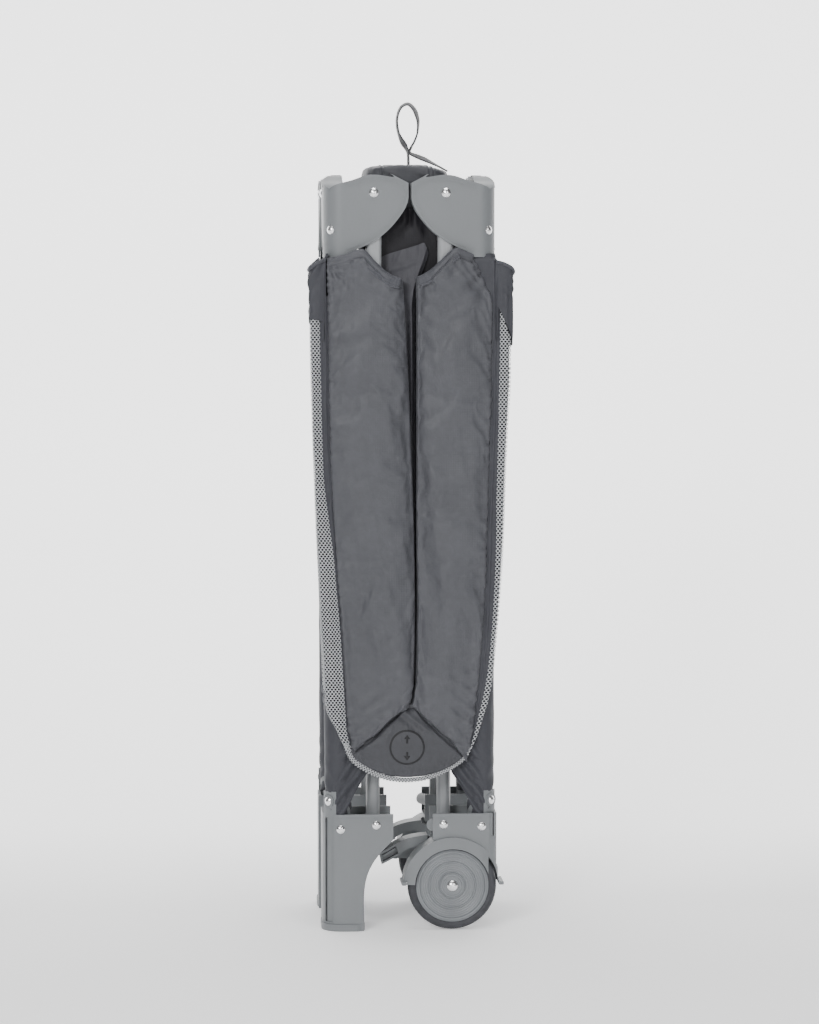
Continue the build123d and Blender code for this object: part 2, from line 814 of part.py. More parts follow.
# ---------------------------------------------------------------- latches
def make_latch(axis_side, other, z0):
    slab = slab_y if axis_side == "y" else slab_x

    def outline():
        with BuildLine() as line:
            Polyline(
                (-48, z0 - 8),
                (-48, z0 + 11),
                (48, z0 + 11),
                (48, z0 - 8),
                (19, z0 - 34),
                (-19, z0 - 34),
                close=True,
            )
        return line

    with BuildPart() as latch:
        for v0, v1 in ((66, 69), (83, 86)):
            plane, depth = slab(v0, v1, other)
            with BuildSketch(plane) as sk:
                add(outline())
                make_face()
                fillet(sk.vertices(), 6)
            extrude(amount=depth)
        # middle web
        plane, depth = slab(66, 86, other)
        with BuildSketch(plane):
            with BuildLine():
                Polyline(
                    (-15, z0 + 8),
                    (15, z0 + 8),
                    (15, z0 - 32),
                    (-15, z0 - 32),
                    close=True,
                )
            make_face()
        extrude(amount=depth)
        # button bore and pin bores
        plane, depth = slab(70, 90, other)
        with BuildSketch(plane):
            with Locations((0, z0 - 18)):
                Circle(BUTTON_R + 0.4)
        extrude(amount=depth, mode=Mode.SUBTRACT)
        plane, depth = slab(60, 90, other)
        with BuildSketch(plane):
            with Locations((-LATCH_PIN, z0), (LATCH_PIN, z0)):
                Circle(PIN_R + 0.1)
        extrude(amount=depth, mode=Mode.SUBTRACT)
        # the two pins, headed over both plates
        for s in (-1, 1):
            if axis_side == "y":
                shape = placed(
                    two_head_pin(PIN_R, 20.1, 4.4, 1.6),
                    (s * LATCH_PIN, other * 65.95, z0),
                    (0, other, 0),
                )
            else:
                shape = placed(
                    two_head_pin(PIN_R, 20.1, 4.4, 1.6),
                    (other * 65.95, s * LATCH_PIN, z0),
                    (other, 0, 0),
                )
            add(shape)
    return latch


def make_button(axis_side, other, z0):
    slab = slab_y if axis_side == "y" else slab_x
    with BuildPart() as button:
        plane, depth = slab(75.5, 89, other)
        with BuildSketch(plane):
            with Locations((0, z0 - 18)):
                Circle(BUTTON_R)
        extrude(amount=depth)
        # coil spring seat behind the cap
        plane, depth = slab(75, 84, other)
        with BuildSketch(plane):
            with Locations((0, z0 - 18)):
                Circle(BUTTON_R - 2.2)
                Circle(3.2, mode=Mode.SUBTRACT)
        extrude(amount=depth, mode=Mode.SUBTRACT)
        edges = button.edges().filter_by(GeomType.CIRCLE)
        outer = [
            e
            for e in edges
            if abs(e.radius - BUTTON_R) < 0.01
            and abs(abs(e.arc_center.Y if axis_side == "y" else e.arc_center.X) - 89)
            < 0.01
        ]
        fillet(outer, 1.4)
    return button


RAILS = [
    ("front", "y", -1, LONG_HALF, (("left", -1), ("right", 1))),
    ("back", "y", 1, LONG_HALF, (("left", -1), ("right", 1))),
    ("left", "x", -1, SHORT_HALF, (("front", -1), ("back", 1))),
    ("right", "x", 1, SHORT_HALF, (("front", -1), ("back", 1))),
]
for side, axis_side, other, length, halves in RAILS:
    z0 = RAIL_PIVOT_Z - length
    for half, s in halves:
        rail = make_rail(axis_side, s, other, length)
        rail.part.label = f"rail_{side}_{half}"
        export_step(rail.part, f"parts/rail_{side}_{half}.step")
        cover = make_cover(axis_side, s, other, length)
        cover.part.label = f"cover_{side}_{half}"
        export_step(cover.part, f"parts/cover_{side}_{half}.step")
    latch = make_latch(axis_side, other, z0)
    latch.part.label = f"latch_{side}"
    export_step(latch.part, f"parts/latch_{side}.step")
    button = make_button(axis_side, other, z0)
    button.part.label = f"latch_button_{side}"
    export_step(button.part, f"parts/latch_button_{side}.step")


# ---------------------------------------------------------------- base arms and hub
def make_arm(sx, sy):
    with BuildPart() as arm:
        with BuildSketch(Plane.XY.offset(ARM_Z - 8.5)):
            with Locations((sx * ARM_U, sy * ARM_V)):
                Circle(ARM_R)
                Circle(ARM_R - ARM_WALL, mode=Mode.SUBTRACT)
        extrude(amount=ARM_LEN + 17)
        for z in (ARM_Z, HUB_Z):
            with BuildSketch(arm_pin_plane(sx, sy, z).offset(-12)):
                Circle(PIN_R + PIN_GAP)
            extrude(amount=24, mode=Mode.SUBTRACT)
    return arm


with BuildPart() as hub:
    # cap over the four clevises
    with BuildSketch(Plane.XY.offset(HUB_Z + 11)):
        RectangleRounded(98, 122, 24)
    extrude(amount=5)
    # raised crown that the floor rests on
    with BuildSketch(Plane.XY.offset(HUB_Z + 16)):
        RectangleRounded(70, 94, 20)
    extrude(amount=10)
    chamfer(hub.faces().sort_by(Axis.Z)[-1].edges(), 3)
    # middle block
    with BuildSketch(Plane.XY.offset(HUB_Z - 14)):
        RectangleRounded(34, 52, 8)
    extrude(amount=26)
    # clevis ears, either side of each arm
    for sx, sy in CORNERS.values():
        for t0, t1 in ((7.6, 9.8), (-9.8, -7.6)):
            plane = arm_pin_plane(sx, sy, HUB_Z)
            # local X of the ear sketch runs inwards along the arm, local Y up
            ear = Plane(
                origin=plane.origin + plane.z_dir * t0,
                x_dir=(-sx * cos(ARM_DIR), -sy * sin(ARM_DIR), 0),
                z_dir=plane.z_dir,
            )
            up = 1 if ear.y_dir.Z > 0 else -1
            with BuildSketch(ear):
                with BuildLine():
                    Polyline(
                        (-7, up * 12),
                        (-7, up * -4),
                        (-3, up * -8),
                        (4, up * -8),
                        (24, up * -8),
                        (24, up * 12),
                        close=True,
                    )
                make_face()
            extrude(amount=t1 - t0)
        with BuildSketch(arm_pin_plane(sx, sy, HUB_Z).offset(-14)):
            Circle(PIN_R + 0.1)
        extrude(amount=28, mode=Mode.SUBTRACT)
    # strap slot through the middle
    with BuildSketch(Plane.XY.offset(HUB_Z - 20)):
        Rectangle(6, 26)
    extrude(amount=60, mode=Mode.SUBTRACT)
hub.part.label = "floor_hub"
export_step(hub.part, "parts/floor_hub.step")

with BuildPart() as hub_pins:
    for sx, sy in CORNERS.values():
        plane = arm_pin_plane(sx, sy, HUB_Z)
        start = plane.origin - plane.z_dir * 9.8
        add(
            placed(
                two_head_pin(PIN_R, 19.6, 4.2, 0.9),
                (start.X, start.Y, start.Z),
                (plane.z_dir.X, plane.z_dir.Y, plane.z_dir.Z),
            )
        )
hub_pins.part.label = "hub_pins"
export_step(hub_pins.part, "parts/hub_pins.step")

for name, (sx, sy) in CORNERS.items():
    arm = make_arm(sx, sy)
    arm.part.label = f"base_arm_{name}"
    export_step(arm.part, f"parts/base_arm_{name}.step")

# fabric floor pulled up over the hub
COVER_TOP = 770.0
with BuildPart() as hub_cover:
    with BuildSketch(Plane.XY.offset(HUB_Z + 27)):
        RectangleRounded(86, 118, 20)
    extrude(amount=COVER_TOP - HUB_Z - 27)
    fillet(hub_cover.faces().sort_by(Axis.Z)[-1].edges(), 9)
    with BuildSketch(Plane.XY.offset(HUB_Z + 20)):
        RectangleRounded(78, 110, 16)
    extrude(amount=COVER_TOP - HUB_Z - 24, mode=Mode.SUBTRACT)
    with BuildSketch(Plane.XY.offset(COVER_TOP - 10)):
        with Locations((3.5, 0)):
            Rectangle(5, 22)
    extrude(amount=20, mode=Mode.SUBTRACT)
hub_cover.part.label = "hub_cover"
export_step(hub_cover.part, "parts/hub_cover.step")

# flat webbing strap: stem, loop and a loose tail
STRAP_W = 14.0
STRAP_X = 3.5
LOOP = [
    (0, 785.5),
    (-4.2, 791),
    (-9.6, 803),
    (-11.0, 817),
    (-7.2, 830),
    (-0.4, 835),
    (6.4, 829.6),
    (11.0, 815),
    (9.6, 802),
    (4.2, 791),
]
LOOP_IN = [
    (0, 789.6),
    (-2.6, 792.6),
    (-8.0, 803.6),
    (-9.4, 816.8),
    (-5.9, 828.7),
    (-0.4, 833.3),
    (5.1, 828.4),
    (9.4, 814.8),
    (8.0, 802.6),
    (2.6, 792.6),
]
with BuildPart() as strap:
    with BuildSketch(Plane.XZ.offset(-STRAP_W / 2)):
        with BuildLine():
            Spline(*[(x + STRAP_X, z) for x, z in LOOP], periodic=True)
        make_face()
        with BuildLine():
            Spline(*[(x + STRAP_X, z) for x, z in LOOP_IN], periodic=True)
        make_face(mode=Mode.SUBTRACT)
    extrude(amount=STRAP_W)
    with BuildSketch(Plane.XZ.offset(-STRAP_W / 2)):
        with Locations((STRAP_X, (COVER_TOP - 30 + 787.5) / 2)):
            Rectangle(1.8, 787.5 - COVER_TOP + 30)
    extrude(amount=STRAP_W)
    with BuildSketch(Plane.XZ.offset(-STRAP_W / 2)):
        with BuildLine():
            Polyline(
                (3.7, 787.6),
                (12.5, 785.4),
                (25.5, 780.6),
                (40.5, 774.8),
                (40, 773.4),
                (25, 779.0),
                (12, 783.6),
                (3.7, 785.2),
                close=True,
            )
        make_face()
    extrude(amount=STRAP_W)
strap.part.label = "pull_strap"
export_step(strap.part, "parts/pull_strap.step")


# ---------------------------------------------------------------- rivets and pivot pins
def make_rivets(sx, sy):
    with BuildPart() as rivets:
        # long and short rail pivots
        add(
            placed(
                two_head_pin(PIN_R, WING, 4.6, 2.4),
                (sx * RAIL_PIVOT_U, sy * (BUNDLE - WING), RAIL_PIVOT_Z),
                (0, sy, 0),
            )
        )
        add(
            placed(
                two_head_pin(PIN_R, WING, 4.6, 2.4),
                (sx * (BUNDLE - WING), sy * RAIL_PIVOT_U, RAIL_PIVOT_Z),
                (sx, 0, 0),
            )
        )
        # housing to post, on the rounded corner
        add(
            placed(
                dome_rivet(4.2, 2.3, 2, 0),
                (sx * (67 + 19 * 0.629), sy * (67 + 19 * 0.7774), 706),
                (sx * 0.629, sy * 0.7774, 0),
            )
        )
        # foot to post, and the box screw
        add(
            placed(
                dome_rivet(4.2, 2.3, 2, 12),
                (sx * foot_rivet(sx)[0], sy * FOOT_OUT, foot_rivet(sx)[1]),
                (0, sy, 0),
            )
        )
        add(
            placed(
                dome_rivet(4.2, 2.3, 2, 0),
                (sx * 34, sy * FOOT_OUT, 108),
                (0, sy, 0),
            )
        )
        # ear
        add(
            placed(
                dome_rivet(4.2, 2.3, 2, 0),
                (sx * (67 + 22.1 * 0.7071), sy * (67 + 22.1 * 0.7071), 132),
                (sx, sy, 0),
            )
        )
        # base arm pivot, blind in its two bosses
        plane = arm_pin_plane(sx, sy, ARM_Z)
        start = plane.origin - plane.z_dir * 16
        with BuildSketch(
            Plane(
                origin=(start.X, start.Y, start.Z),
                z_dir=(plane.z_dir.X, plane.z_dir.Y, plane.z_dir.Z),
            )
        ):
            Circle(PIN_R)
        extrude(amount=46)
        # brake lever pivot
        if sx > 0:
            add(
                placed(
                    dome_rivet(5.2, 0.9, PIN_R, 6.8),
                    (LEVER_X, sy * 35.15, LEVER_Z),
                    (0, -sy, 0),
                )
            )
    return rivets


for name, (sx, sy) in CORNERS.items():
    rivets = make_rivets(sx, sy)
    rivets.part.label = f"rivets_{name}"
    export_step(rivets.part, f"parts/rivets_{name}.step")


# ---------------------------------------------------------------- gathered side walls
def make_wall(sx, sy):
    with BuildPart() as wall:
        with BuildSketch(Plane.XY.offset(156)):
            with BuildLine():
                Polyline(
                    *[
                        (sx * u, sy * v)
                        for u, v in (
                            (60, 57.5),
                            (95, 57.5),
                            (95, 78),
                            (88, 85.8),
                            (60, 85.8),
                        )
                    ],
                    close=True,
                )
            make_face()
        extrude(amount=44)
        with BuildSketch(Plane.XY.offset(200)):
            with BuildLine():
                Polyline(
                    *[
                        (sx * u, sy * v)
                        for u, v in (
                            (60, 57.5),
                            (99.5, 57.5),
                            (99.5, 80),
                            (92, 85.8),
                            (60, 85.8),
                        )
                    ],
                    close=True,
                )
            make_face()
        extrude(amount=474)
        with BuildSketch(Plane.XY.offset(150)):
            with Locations((sx * POST_U, sy * POST_U)):
                Circle(POST_R + 0.5)
        extrude(amount=540, mode=Mode.SUBTRACT)
    return wall


for name, (sx, sy) in CORNERS.items():
    wall = make_wall(sx, sy)
    wall.part.label = f"wall_{name}"
    export_step(wall.part, f"parts/wall_{name}.step")
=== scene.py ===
import math

import bmesh
import bpy
import numpy as np
from mathutils import Matrix, Vector, noise


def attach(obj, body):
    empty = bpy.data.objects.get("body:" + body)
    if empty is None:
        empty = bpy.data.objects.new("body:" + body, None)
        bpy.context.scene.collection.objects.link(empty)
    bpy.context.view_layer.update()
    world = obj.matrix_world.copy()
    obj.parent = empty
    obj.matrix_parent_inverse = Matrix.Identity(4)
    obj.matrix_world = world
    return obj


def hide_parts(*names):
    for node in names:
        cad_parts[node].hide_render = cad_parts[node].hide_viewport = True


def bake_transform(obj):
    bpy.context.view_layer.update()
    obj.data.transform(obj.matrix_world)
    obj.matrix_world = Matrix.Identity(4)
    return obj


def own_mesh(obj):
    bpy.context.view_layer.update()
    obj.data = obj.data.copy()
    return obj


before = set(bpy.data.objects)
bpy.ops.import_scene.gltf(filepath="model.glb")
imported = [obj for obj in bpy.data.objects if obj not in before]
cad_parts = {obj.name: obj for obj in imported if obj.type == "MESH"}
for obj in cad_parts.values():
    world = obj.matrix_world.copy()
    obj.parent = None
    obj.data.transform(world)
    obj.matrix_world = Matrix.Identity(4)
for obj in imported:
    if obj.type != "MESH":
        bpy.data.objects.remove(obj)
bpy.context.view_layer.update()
MM = 0.001
CORNERS = {"fl": (-1, -1), "fr": (1, -1), "rl": (-1, 1), "rr": (1, 1)}
RNG = np.random.default_rng(11)

# ------------------------------------------------------------------ node helpers


class Mat:
    """A node material with one Principled shader, built step by step."""

    def __init__(self, name, color, rough=0.5, metallic=0.0):
        self.m = bpy.data.materials.new(name)
        self.m.use_nodes = True
        self.nt = self.m.node_tree
        self.nt.nodes.clear()
        self.out = self.nt.nodes.new("ShaderNodeOutputMaterial")
        self.p = self.nt.nodes.new("ShaderNodeBsdfPrincipled")
        self.nt.links.new(self.p.outputs[0], self.out.inputs[0])
        self.p.inputs["Base Color"].default_value = (*color, 1)
        self.p.inputs["Roughness"].default_value = rough
        self.p.inputs["Metallic"].default_value = metallic
        self.color = color

    def n(self, kind, **kw):
        node = self.nt.nodes.new("ShaderNode" + kind)
        for k, v in kw.items():
            if hasattr(node, k) and k not in node.inputs:
                setattr(node, k, v)
            else:
                node.inputs[k].default_value = v
        return node

    def link(self, a, b):
        self.nt.links.new(a, b)

    def coords(self, scale=(1, 1, 1), which="Object"):
        tc = self.n("TexCoord")
        mp = self.n("Mapping")
        mp.inputs["Scale"].default_value = scale
        self.link(tc.outputs[which], mp.inputs["Vector"])
        return mp.outputs[0]

    def noise(self, vec, scale, detail=3.0, rough=0.5):
        t = self.n("TexNoise")
        t.inputs["Scale"].default_value = scale
        t.inputs["Detail"].default_value = detail
        t.inputs["Roughness"].default_value = rough
        self.link(vec, t.inputs["Vector"])
        return t.outputs["Fac"]

    def wave(self, vec, scale, direction="X", profile="SIN", distortion=0.0):
        t = self.n("TexWave")
        t.wave_type = "BANDS"
        t.bands_direction = direction
        t.wave_profile = profile
        t.inputs["Scale"].default_value = scale
        t.inputs["Distortion"].default_value = distortion
        self.link(vec, t.inputs["Vector"])
        return t.outputs["Fac"]

    def ramp(self, fac, stops):
        r = self.n("ValToRGB")
        e = r.color_ramp.elements
        while len(e) > 1:
            e.remove(e[-1])
        e[0].position, e[0].color = stops[0][0], (*stops[0][1], 1)
        for pos, col in stops[1:]:
            x = e.new(pos)
            x.color = (*col, 1)
        self.link(fac, r.inputs["Fac"])
        return r.outputs["Color"]

    def grey(self, fac, lo, hi, a=0.0, b=1.0):
        r = self.n("MapRange")
        r.inputs["From Min"].default_value = a
        r.inputs["From Max"].default_value = b
        r.inputs["To Min"].default_value = lo
        r.inputs["To Max"].default_value = hi
        self.link(fac, r.inputs["Value"])
        return r.outputs["Result"]

    def math(self, op, a, b=None, c=None):
        m = self.n("Math")
        m.operation = op
        for i, v in enumerate((a, b, c)):
            if v is None:
                continue
            if isinstance(v, (int, float)):
                m.inputs[i].default_value = v
            else:
                self.link(v, m.inputs[i])
        return m.outputs[0]

    def bump(self, height, distance, strength=1.0, normal=None):
        b = self.n("Bump")
        b.inputs["Distance"].default_value = distance
        b.inputs["Strength"].default_value = strength
        self.link(height, b.inputs["Height"])
        if normal is not None:
            self.link(normal, b.inputs["Normal"])
        self.link(b.outputs[0], self.p.inputs["Normal"])
        return b.outputs[0]

    def base(self, sock):
        self.link(sock, self.p.inputs["Base Color"])

    def rough(self, sock):
        self.link(sock, self.p.inputs["Roughness"])


def lin(*rgb):
    """sRGB 0-255 to linear."""
    return tuple(
        (c / 255 / 12.92) if c / 255 <= 0.04045 else ((c / 255 + 0.055) / 1.055) ** 2.4
        for c in rgb
    )


def tint(c, k):
    return tuple(min(1.0, x * k) for x in c)


# ------------------------------------------------------------------ materials
def plastic_material(name, base, rough=0.42, fine=1.0):
    m = Mat(name, base, rough)
    v = m.coords()
    big = m.noise(v, 9.0, 3)
    speck = m.noise(v, 900.0, 2)
    both = m.math("ADD", m.math("MULTIPLY", big, 0.7), m.math("MULTIPLY", speck, 0.3))
    m.base(m.ramp(both, [(0.3, tint(base, 0.93)), (0.7, tint(base, 1.06))]))
    m.rough(m.grey(m.noise(v, 30.0, 4), rough - 0.06, rough + 0.09))
    b = m.bump(m.noise(v, 1400.0 * fine, 2), 0.00006, 0.55)
    m.p.inputs["Specular IOR Level"].default_value = 0.42
    return m.m


def tube_material(name, base, rough=0.36):
    m = Mat(name, base, rough)
    v = m.coords((1, 1, 0.06))
    streak = m.noise(v, 420.0, 3)
    m.base(m.ramp(streak, [(0.3, tint(base, 0.92)), (0.72, tint(base, 1.07))]))
    m.rough(m.grey(m.noise(m.coords(), 25.0, 3), rough - 0.05, rough + 0.1))
    m.bump(m.noise(m.coords(), 700.0, 2), 0.00004, 0.5)
    m.p.inputs["Coat Weight"].default_value = 0.25
    m.p.inputs["Coat Roughness"].default_value = 0.25
    return m.m


def chrome_material(name):
    m = Mat(name, (0.88, 0.89, 0.9), 0.26, 1.0)
    v = m.coords()
    m.base(
        m.ramp(m.noise(v, 300.0, 3), [(0.3, (0.84, 0.85, 0.86)), (0.7, (0.95, 0.95, 0.96))])
    )
    m.rough(m.grey(m.noise(v, 120.0, 3), 0.2, 0.34))
    m.bump(m.noise(v, 260.0, 2), 0.00003, 0.4)
    return m.m


def cloth_material(name, base, rough=0.62, sheen=0.25, pitch=0.00055, crease=1.0):
    """Fine plain-weave polyester: thread grid, soft darker and lighter patches painted into the colour as shading of
    folds, fine creases.
    """
    m = Mat(name, base, rough)
    v = m.coords()
    # large soft patches: painted shading of folds in the base colour; the finer mottle is the cloth's own tone
    painted_fold_shading = m.noise(v, 14.0, 4, 0.55)
    mott = m.noise(v, 160.0, 3)
    mix = m.math("ADD", m.math("MULTIPLY", painted_fold_shading, 0.65), m.math("MULTIPLY", mott, 0.35))
    m.base(m.ramp(mix, [(0.3, tint(base, 0.88)), (0.7, tint(base, 1.12))]))
    m.rough(m.grey(m.noise(v, 60.0, 3), rough - 0.07, rough + 0.07))
    k = 1.0 / pitch / 6.2832 * 2.0
    wx = m.wave(v, k / 3.2, "X")
    wz = m.wave(v, k / 3.2, "Z")
    weave = m.math("MULTIPLY", m.math("ADD", wx, wz), 0.5)
    fold = m.noise(m.coords((1, 1, 0.45)), 46.0, 5, 0.6)
    height = m.math(
        "ADD", m.math("MULTIPLY", weave, 0.12), m.math("MULTIPLY", fold, 1.0 * crease)
    )
    m.bump(height, 0.0011, 0.55)
    m.p.inputs["Sheen Weight"].default_value = sheen
    m.p.inputs["Sheen Roughness"].default_value = 0.45
    m.p.inputs["Sheen Tint"].default_value = (0.75, 0.78, 0.84, 1)
    m.p.inputs["Specular IOR Level"].default_value = 0.24
    return m.m


def net_material(name, thread, pitch=3.6, hole=0.39):
    """Knitted net: staggered oval holes between light threads. UV is in millimetres of cloth."""
    m = Mat(name, thread, 0.72)
    uv = m.n("UVMap")
    uv.uv_map = "net"
    sep = m.n("SeparateXYZ")
    m.link(uv.outputs[0], sep.inputs[0])
    u, v = sep.outputs[0], sep.outputs[1]
    # rows of holes, every second row moved by half a pitch
    row_h = pitch * 0.62
    row = m.math("FLOOR", m.math("DIVIDE", v, row_h))
    odd = m.math("MULTIPLY", m.math("MODULO", m.math("ABSOLUTE", row), 2.0), 0.5)
    fu = m.math("SUBTRACT", m.math("FRACT", m.math("ADD", m.math("DIVIDE", u, pitch), odd)), 0.5)
    fv = m.math("SUBTRACT", m.math("FRACT", m.math("DIVIDE", v, row_h)), 0.5)
    du = m.math("MULTIPLY", fu, pitch)
    dv = m.math("MULTIPLY", fv, row_h * 1.15)
    r = m.math("SQRT", m.math("ADD", m.math("MULTIPLY", du, du), m.math("MULTIPLY", dv, dv)))
    solid = m.grey(r, 0.0, 1.0, pitch * hole * 0.80, pitch * hole * 0.98)
    vv = m.coords()
    m.base(
        m.ramp(
            m.noise(vv, 500.0, 2),
            [(0.3, tint(thread, 0.82)), (0.7, tint(thread, 1.14))],
        )
    )
    m.link(solid, m.p.inputs["Alpha"])
    m.bump(m.grey(r, 0.0, 1.0, pitch * hole * 0.8, pitch * 0.62), 0.0004, 0.6)
    m.p.inputs["Sheen Weight"].default_value = 0.15
    m.m.use_backface_culling = False
    return m.m


def trim_material(name, thread, gap):
    """Doubled net edge: light threads over dark gaps, in two staggered rows. UV in millimetres."""
    m = Mat(name, thread, 0.72)
    uv = m.n("UVMap")
    uv.uv_map = "net"
    sep = m.n("SeparateXYZ")
    m.link(uv.outputs[0], sep.inputs[0])
    row = m.math("FLOOR", m.math("DIVIDE", sep.outputs[1], 1.8))
    odd = m.math("MULTIPLY", m.math("MODULO", m.math("ABSOLUTE", row), 2.0), 0.5)
    fu = m.math("SUBTRACT", m.math("FRACT", m.math("ADD", m.math("DIVIDE", sep.outputs[0], 3.0), odd)), 0.5)
    fv = m.math("SUBTRACT", m.math("FRACT", m.math("DIVIDE", sep.outputs[1], 1.8)), 0.5)
    du = m.math("MULTIPLY", fu, 3.0)
    dv = m.math("MULTIPLY", fv, 2.2)
    r = m.math("SQRT", m.math("ADD", m.math("MULTIPLY", du, du), m.math("MULTIPLY", dv, dv)))
    m.base(m.ramp(m.grey(r, 0.0, 1.0, 0.62, 1.06), [(0.25, gap), (0.8, tint(thread, 1.0))]))
    m.bump(m.grey(r, 0.0, 1.0, 0.4, 1.2), 0.0006, 0.8)
    m.p.inputs["Sheen Weight"].default_value = 0.15
    return m.m


def tyre_material(name, base):
    m = Mat(name, base, 0.66)
    v = m.coords()
    m.base(m.ramp(m.noise(v, 120.0, 4), [(0.3, tint(base, 0.8)), (0.72, tint(base, 1.3))]))
    m.rough(m.grey(m.noise(v, 60.0, 3), 0.55, 0.8))
    m.bump(m.noise(v, 900.0, 3), 0.00012, 0.7)
    return m.m


def webbing_material(name, base):
    m = Mat(name, base, 0.7)
    v = m.coords()
    rib = m.wave(v, 210.0, "Z")
    cross = m.wave(v, 150.0, "Y")
    h = m.math("ADD", m.math("MULTIPLY", rib, 0.6), m.math("MULTIPLY", cross, 0.4))
    m.base(m.ramp(h, [(0.1, tint(base, 0.62)), (0.8, tint(base, 1.25))]))
    m.bump(h, 0.0004, 0.8)
    m.p.inputs["Sheen Weight"].default_value = 0.2
    return m.m


def wheel_material(name, base, sy):
    """Moulded wheel disc with fine turned rings about the axle."""
    m = Mat(name, base, 0.4)
    tc = m.n("TexCoord")
    sep = m.n("SeparateXYZ")
    m.link(tc.outputs["Object"], sep.inputs[0])
    dx = m.math("SUBTRACT", sep.outputs[0], 0.043)
    dz = m.math("SUBTRACT", sep.outputs[2], 0.045)
    r = m.math("SQRT", m.math("ADD", m.math("MULTIPLY", dx, dx), m.math("MULTIPLY", dz, dz)))
    ring = m.math("SINE", m.math("MULTIPLY", r, 2 * math.pi / 0.0021))
    v = m.coords()
    m.base(
        m.ramp(
            m.math("ADD", m.math("MULTIPLY", ring, 0.18), m.noise(v, 40.0, 3)),
            [(0.25, tint(base, 0.84)), (0.8, tint(base, 1.12))],
        )
    )
    m.rough(m.grey(m.noise(v, 60.0, 3), 0.34, 0.5))
    m.bump(ring, 0.00022, 0.6)
    return m.m


GREY = tint(lin(150, 154, 157), 0.575)
TUBE = tint(lin(158, 161, 164), 0.64)
PANEL = tint(lin(88, 89, 94), 0.76)
DARK = tint(lin(72, 73, 79), 0.70)
MAT = {
    "plastic": plastic_material("satin_grey_plastic", GREY, 0.42),
    "tube": tube_material("satin_tube_paint", TUBE),
    "silver": tube_material("silver_rail_tube", tint(lin(178, 181, 184), 0.72), 0.3),
    "chrome": chrome_material("chrome_rivet_head"),
    "panel": cloth_material("padded_panel_cloth", PANEL, 0.5, 0.08),
    # boot cloth: the panel cloth darkened as painted shade for the downward-facing boot; the hub pouch uses this
    # darker copy too
    "boot": cloth_material("latch_boot_cloth", tint(PANEL, 0.74), 0.5, 0.08),
    "wall": cloth_material("wall_cloth", DARK, 0.56, 0.08),
    "binding": cloth_material("binding_tape", tint(lin(82, 83, 89), 0.72), 0.55, 0.25, 0.0004, 0.4),
    # near-black backing behind the nets and curtains: painted shadow standing in for the shaded interior seen through
    # the holes
    "lining": cloth_material("wall_painted_shadow_backing", tint(lin(60, 61, 66), 0.42), 0.7, 0.0),
    "tent": cloth_material("floor_cloth_fold", tint(lin(86, 86, 92), 0.66), 0.55, 0.08),
    # floor_cloth: the cloth of floor_cloth_fold in a far darker copy, painted shadow for the layers behind the
    # standing fold
    "floor": cloth_material("floor_cloth", tint(lin(60, 59, 65), 0.34), 0.55, 0.05),
    "net": net_material("side_net", tint(lin(186, 188, 191), 0.9)),
    "trim_net": trim_material("net_trim", tint(lin(178, 180, 183), 0.85), lin(50, 51, 55)),
    "webbing": webbing_material("pull_webbing", tint(lin(70, 71, 76), 0.5)),
    "tyre": tyre_material("tyre_rubber", tint(lin(64, 65, 70), 0.7)),
    "wheel_f": wheel_material("wheel_disc", tint(lin(146, 150, 154), 0.66), -1),
    "dark": plastic_material("latch_plastic", lin(52, 53, 57), 0.5),
    "print": plastic_material("button_print", tint(lin(44, 45, 49), 0.42), 0.6),
}

# ------------------------------------------------------------------ carried-over CAD nodes


def cad_material(node):
    if node.startswith("rivets_") or node.startswith("hub_pins") or node.startswith("axle"):
        return MAT["chrome"]
    if node.startswith("rail_"):
        return MAT["silver"]
    if node.startswith(("base_arm", "post_")):
        return MAT["tube"]
    if node.startswith("wheel_rim"):
        return MAT["wheel_f"]
    if node.startswith("tyre"):
        return MAT["tyre"]
    if node.startswith(("latch_", "floor_hub")):
        return MAT["dark"]
    return MAT["plastic"]


for name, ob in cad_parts.items():
    ob.data.materials.clear()
    ob.data.materials.append(cad_material(name))
    for poly in ob.data.polygons:
        poly.material_index = 0


# ------------------------------------------------------------------ soft goods: helpers


def interp(x, xs, ys):
    """Smooth curve through points, with no overshoot at the ends."""
    xs, ys = np.asarray(xs, float), np.asarray(ys, float)
    if xs[0] > xs[-1]:
        xs, ys = xs[::-1], ys[::-1]
    d = np.diff(ys) / np.diff(xs)
    m = np.zeros(len(xs))
    m[1:-1] = np.where(d[:-1] * d[1:] > 0, 2 * d[:-1] * d[1:] / (d[:-1] + d[1:] + 1e-12), 0)
    m[0], m[-1] = d[0], d[-1]
    x = np.clip(np.asarray(x, float), xs[0], xs[-1])
    i = np.clip(np.searchsorted(xs, x) - 1, 0, len(xs) - 2)
    h = xs[i + 1] - xs[i]
    t = (x - xs[i]) / h
    return (
        (2 * t**3 - 3 * t**2 + 1) * ys[i]
        + (t**3 - 2 * t**2 + t) * h * m[i]
        + (-2 * t**3 + 3 * t**2) * ys[i + 1]
        + (t**3 - t**2) * h * m[i + 1]
    )


def step(a, b, x):
    t = np.clip((np.asarray(x, float) - a) / (b - a), 0, 1)
    return t * t * (3 - 2 * t)


LATTICE = np.random.default_rng(5).uniform(-1, 1, (64, 64, 64))


def vnoise(p, scale, seed=0):
    """Smooth value noise, -1..1, at points p (n, 3) with cells of the size scale (3)."""
    q = np.asarray(p, float) / np.asarray(scale, float) + seed * 7.31
    i = np.floor(q).astype(int)
    f = q - i
    f = f * f * f * (f * (f * 6 - 15) + 10)
    out = 0
    for dx in (0, 1):
        for dy in (0, 1):
            for dz in (0, 1):
                w = (
                    (f[..., 0] if dx else 1 - f[..., 0])
                    * (f[..., 1] if dy else 1 - f[..., 1])
                    * (f[..., 2] if dz else 1 - f[..., 2])
                )
                out = out + w * LATTICE[
                    (i[..., 0] + dx) % 64, (i[..., 1] + dy) % 64, (i[..., 2] + dz) % 64
                ]
    return out


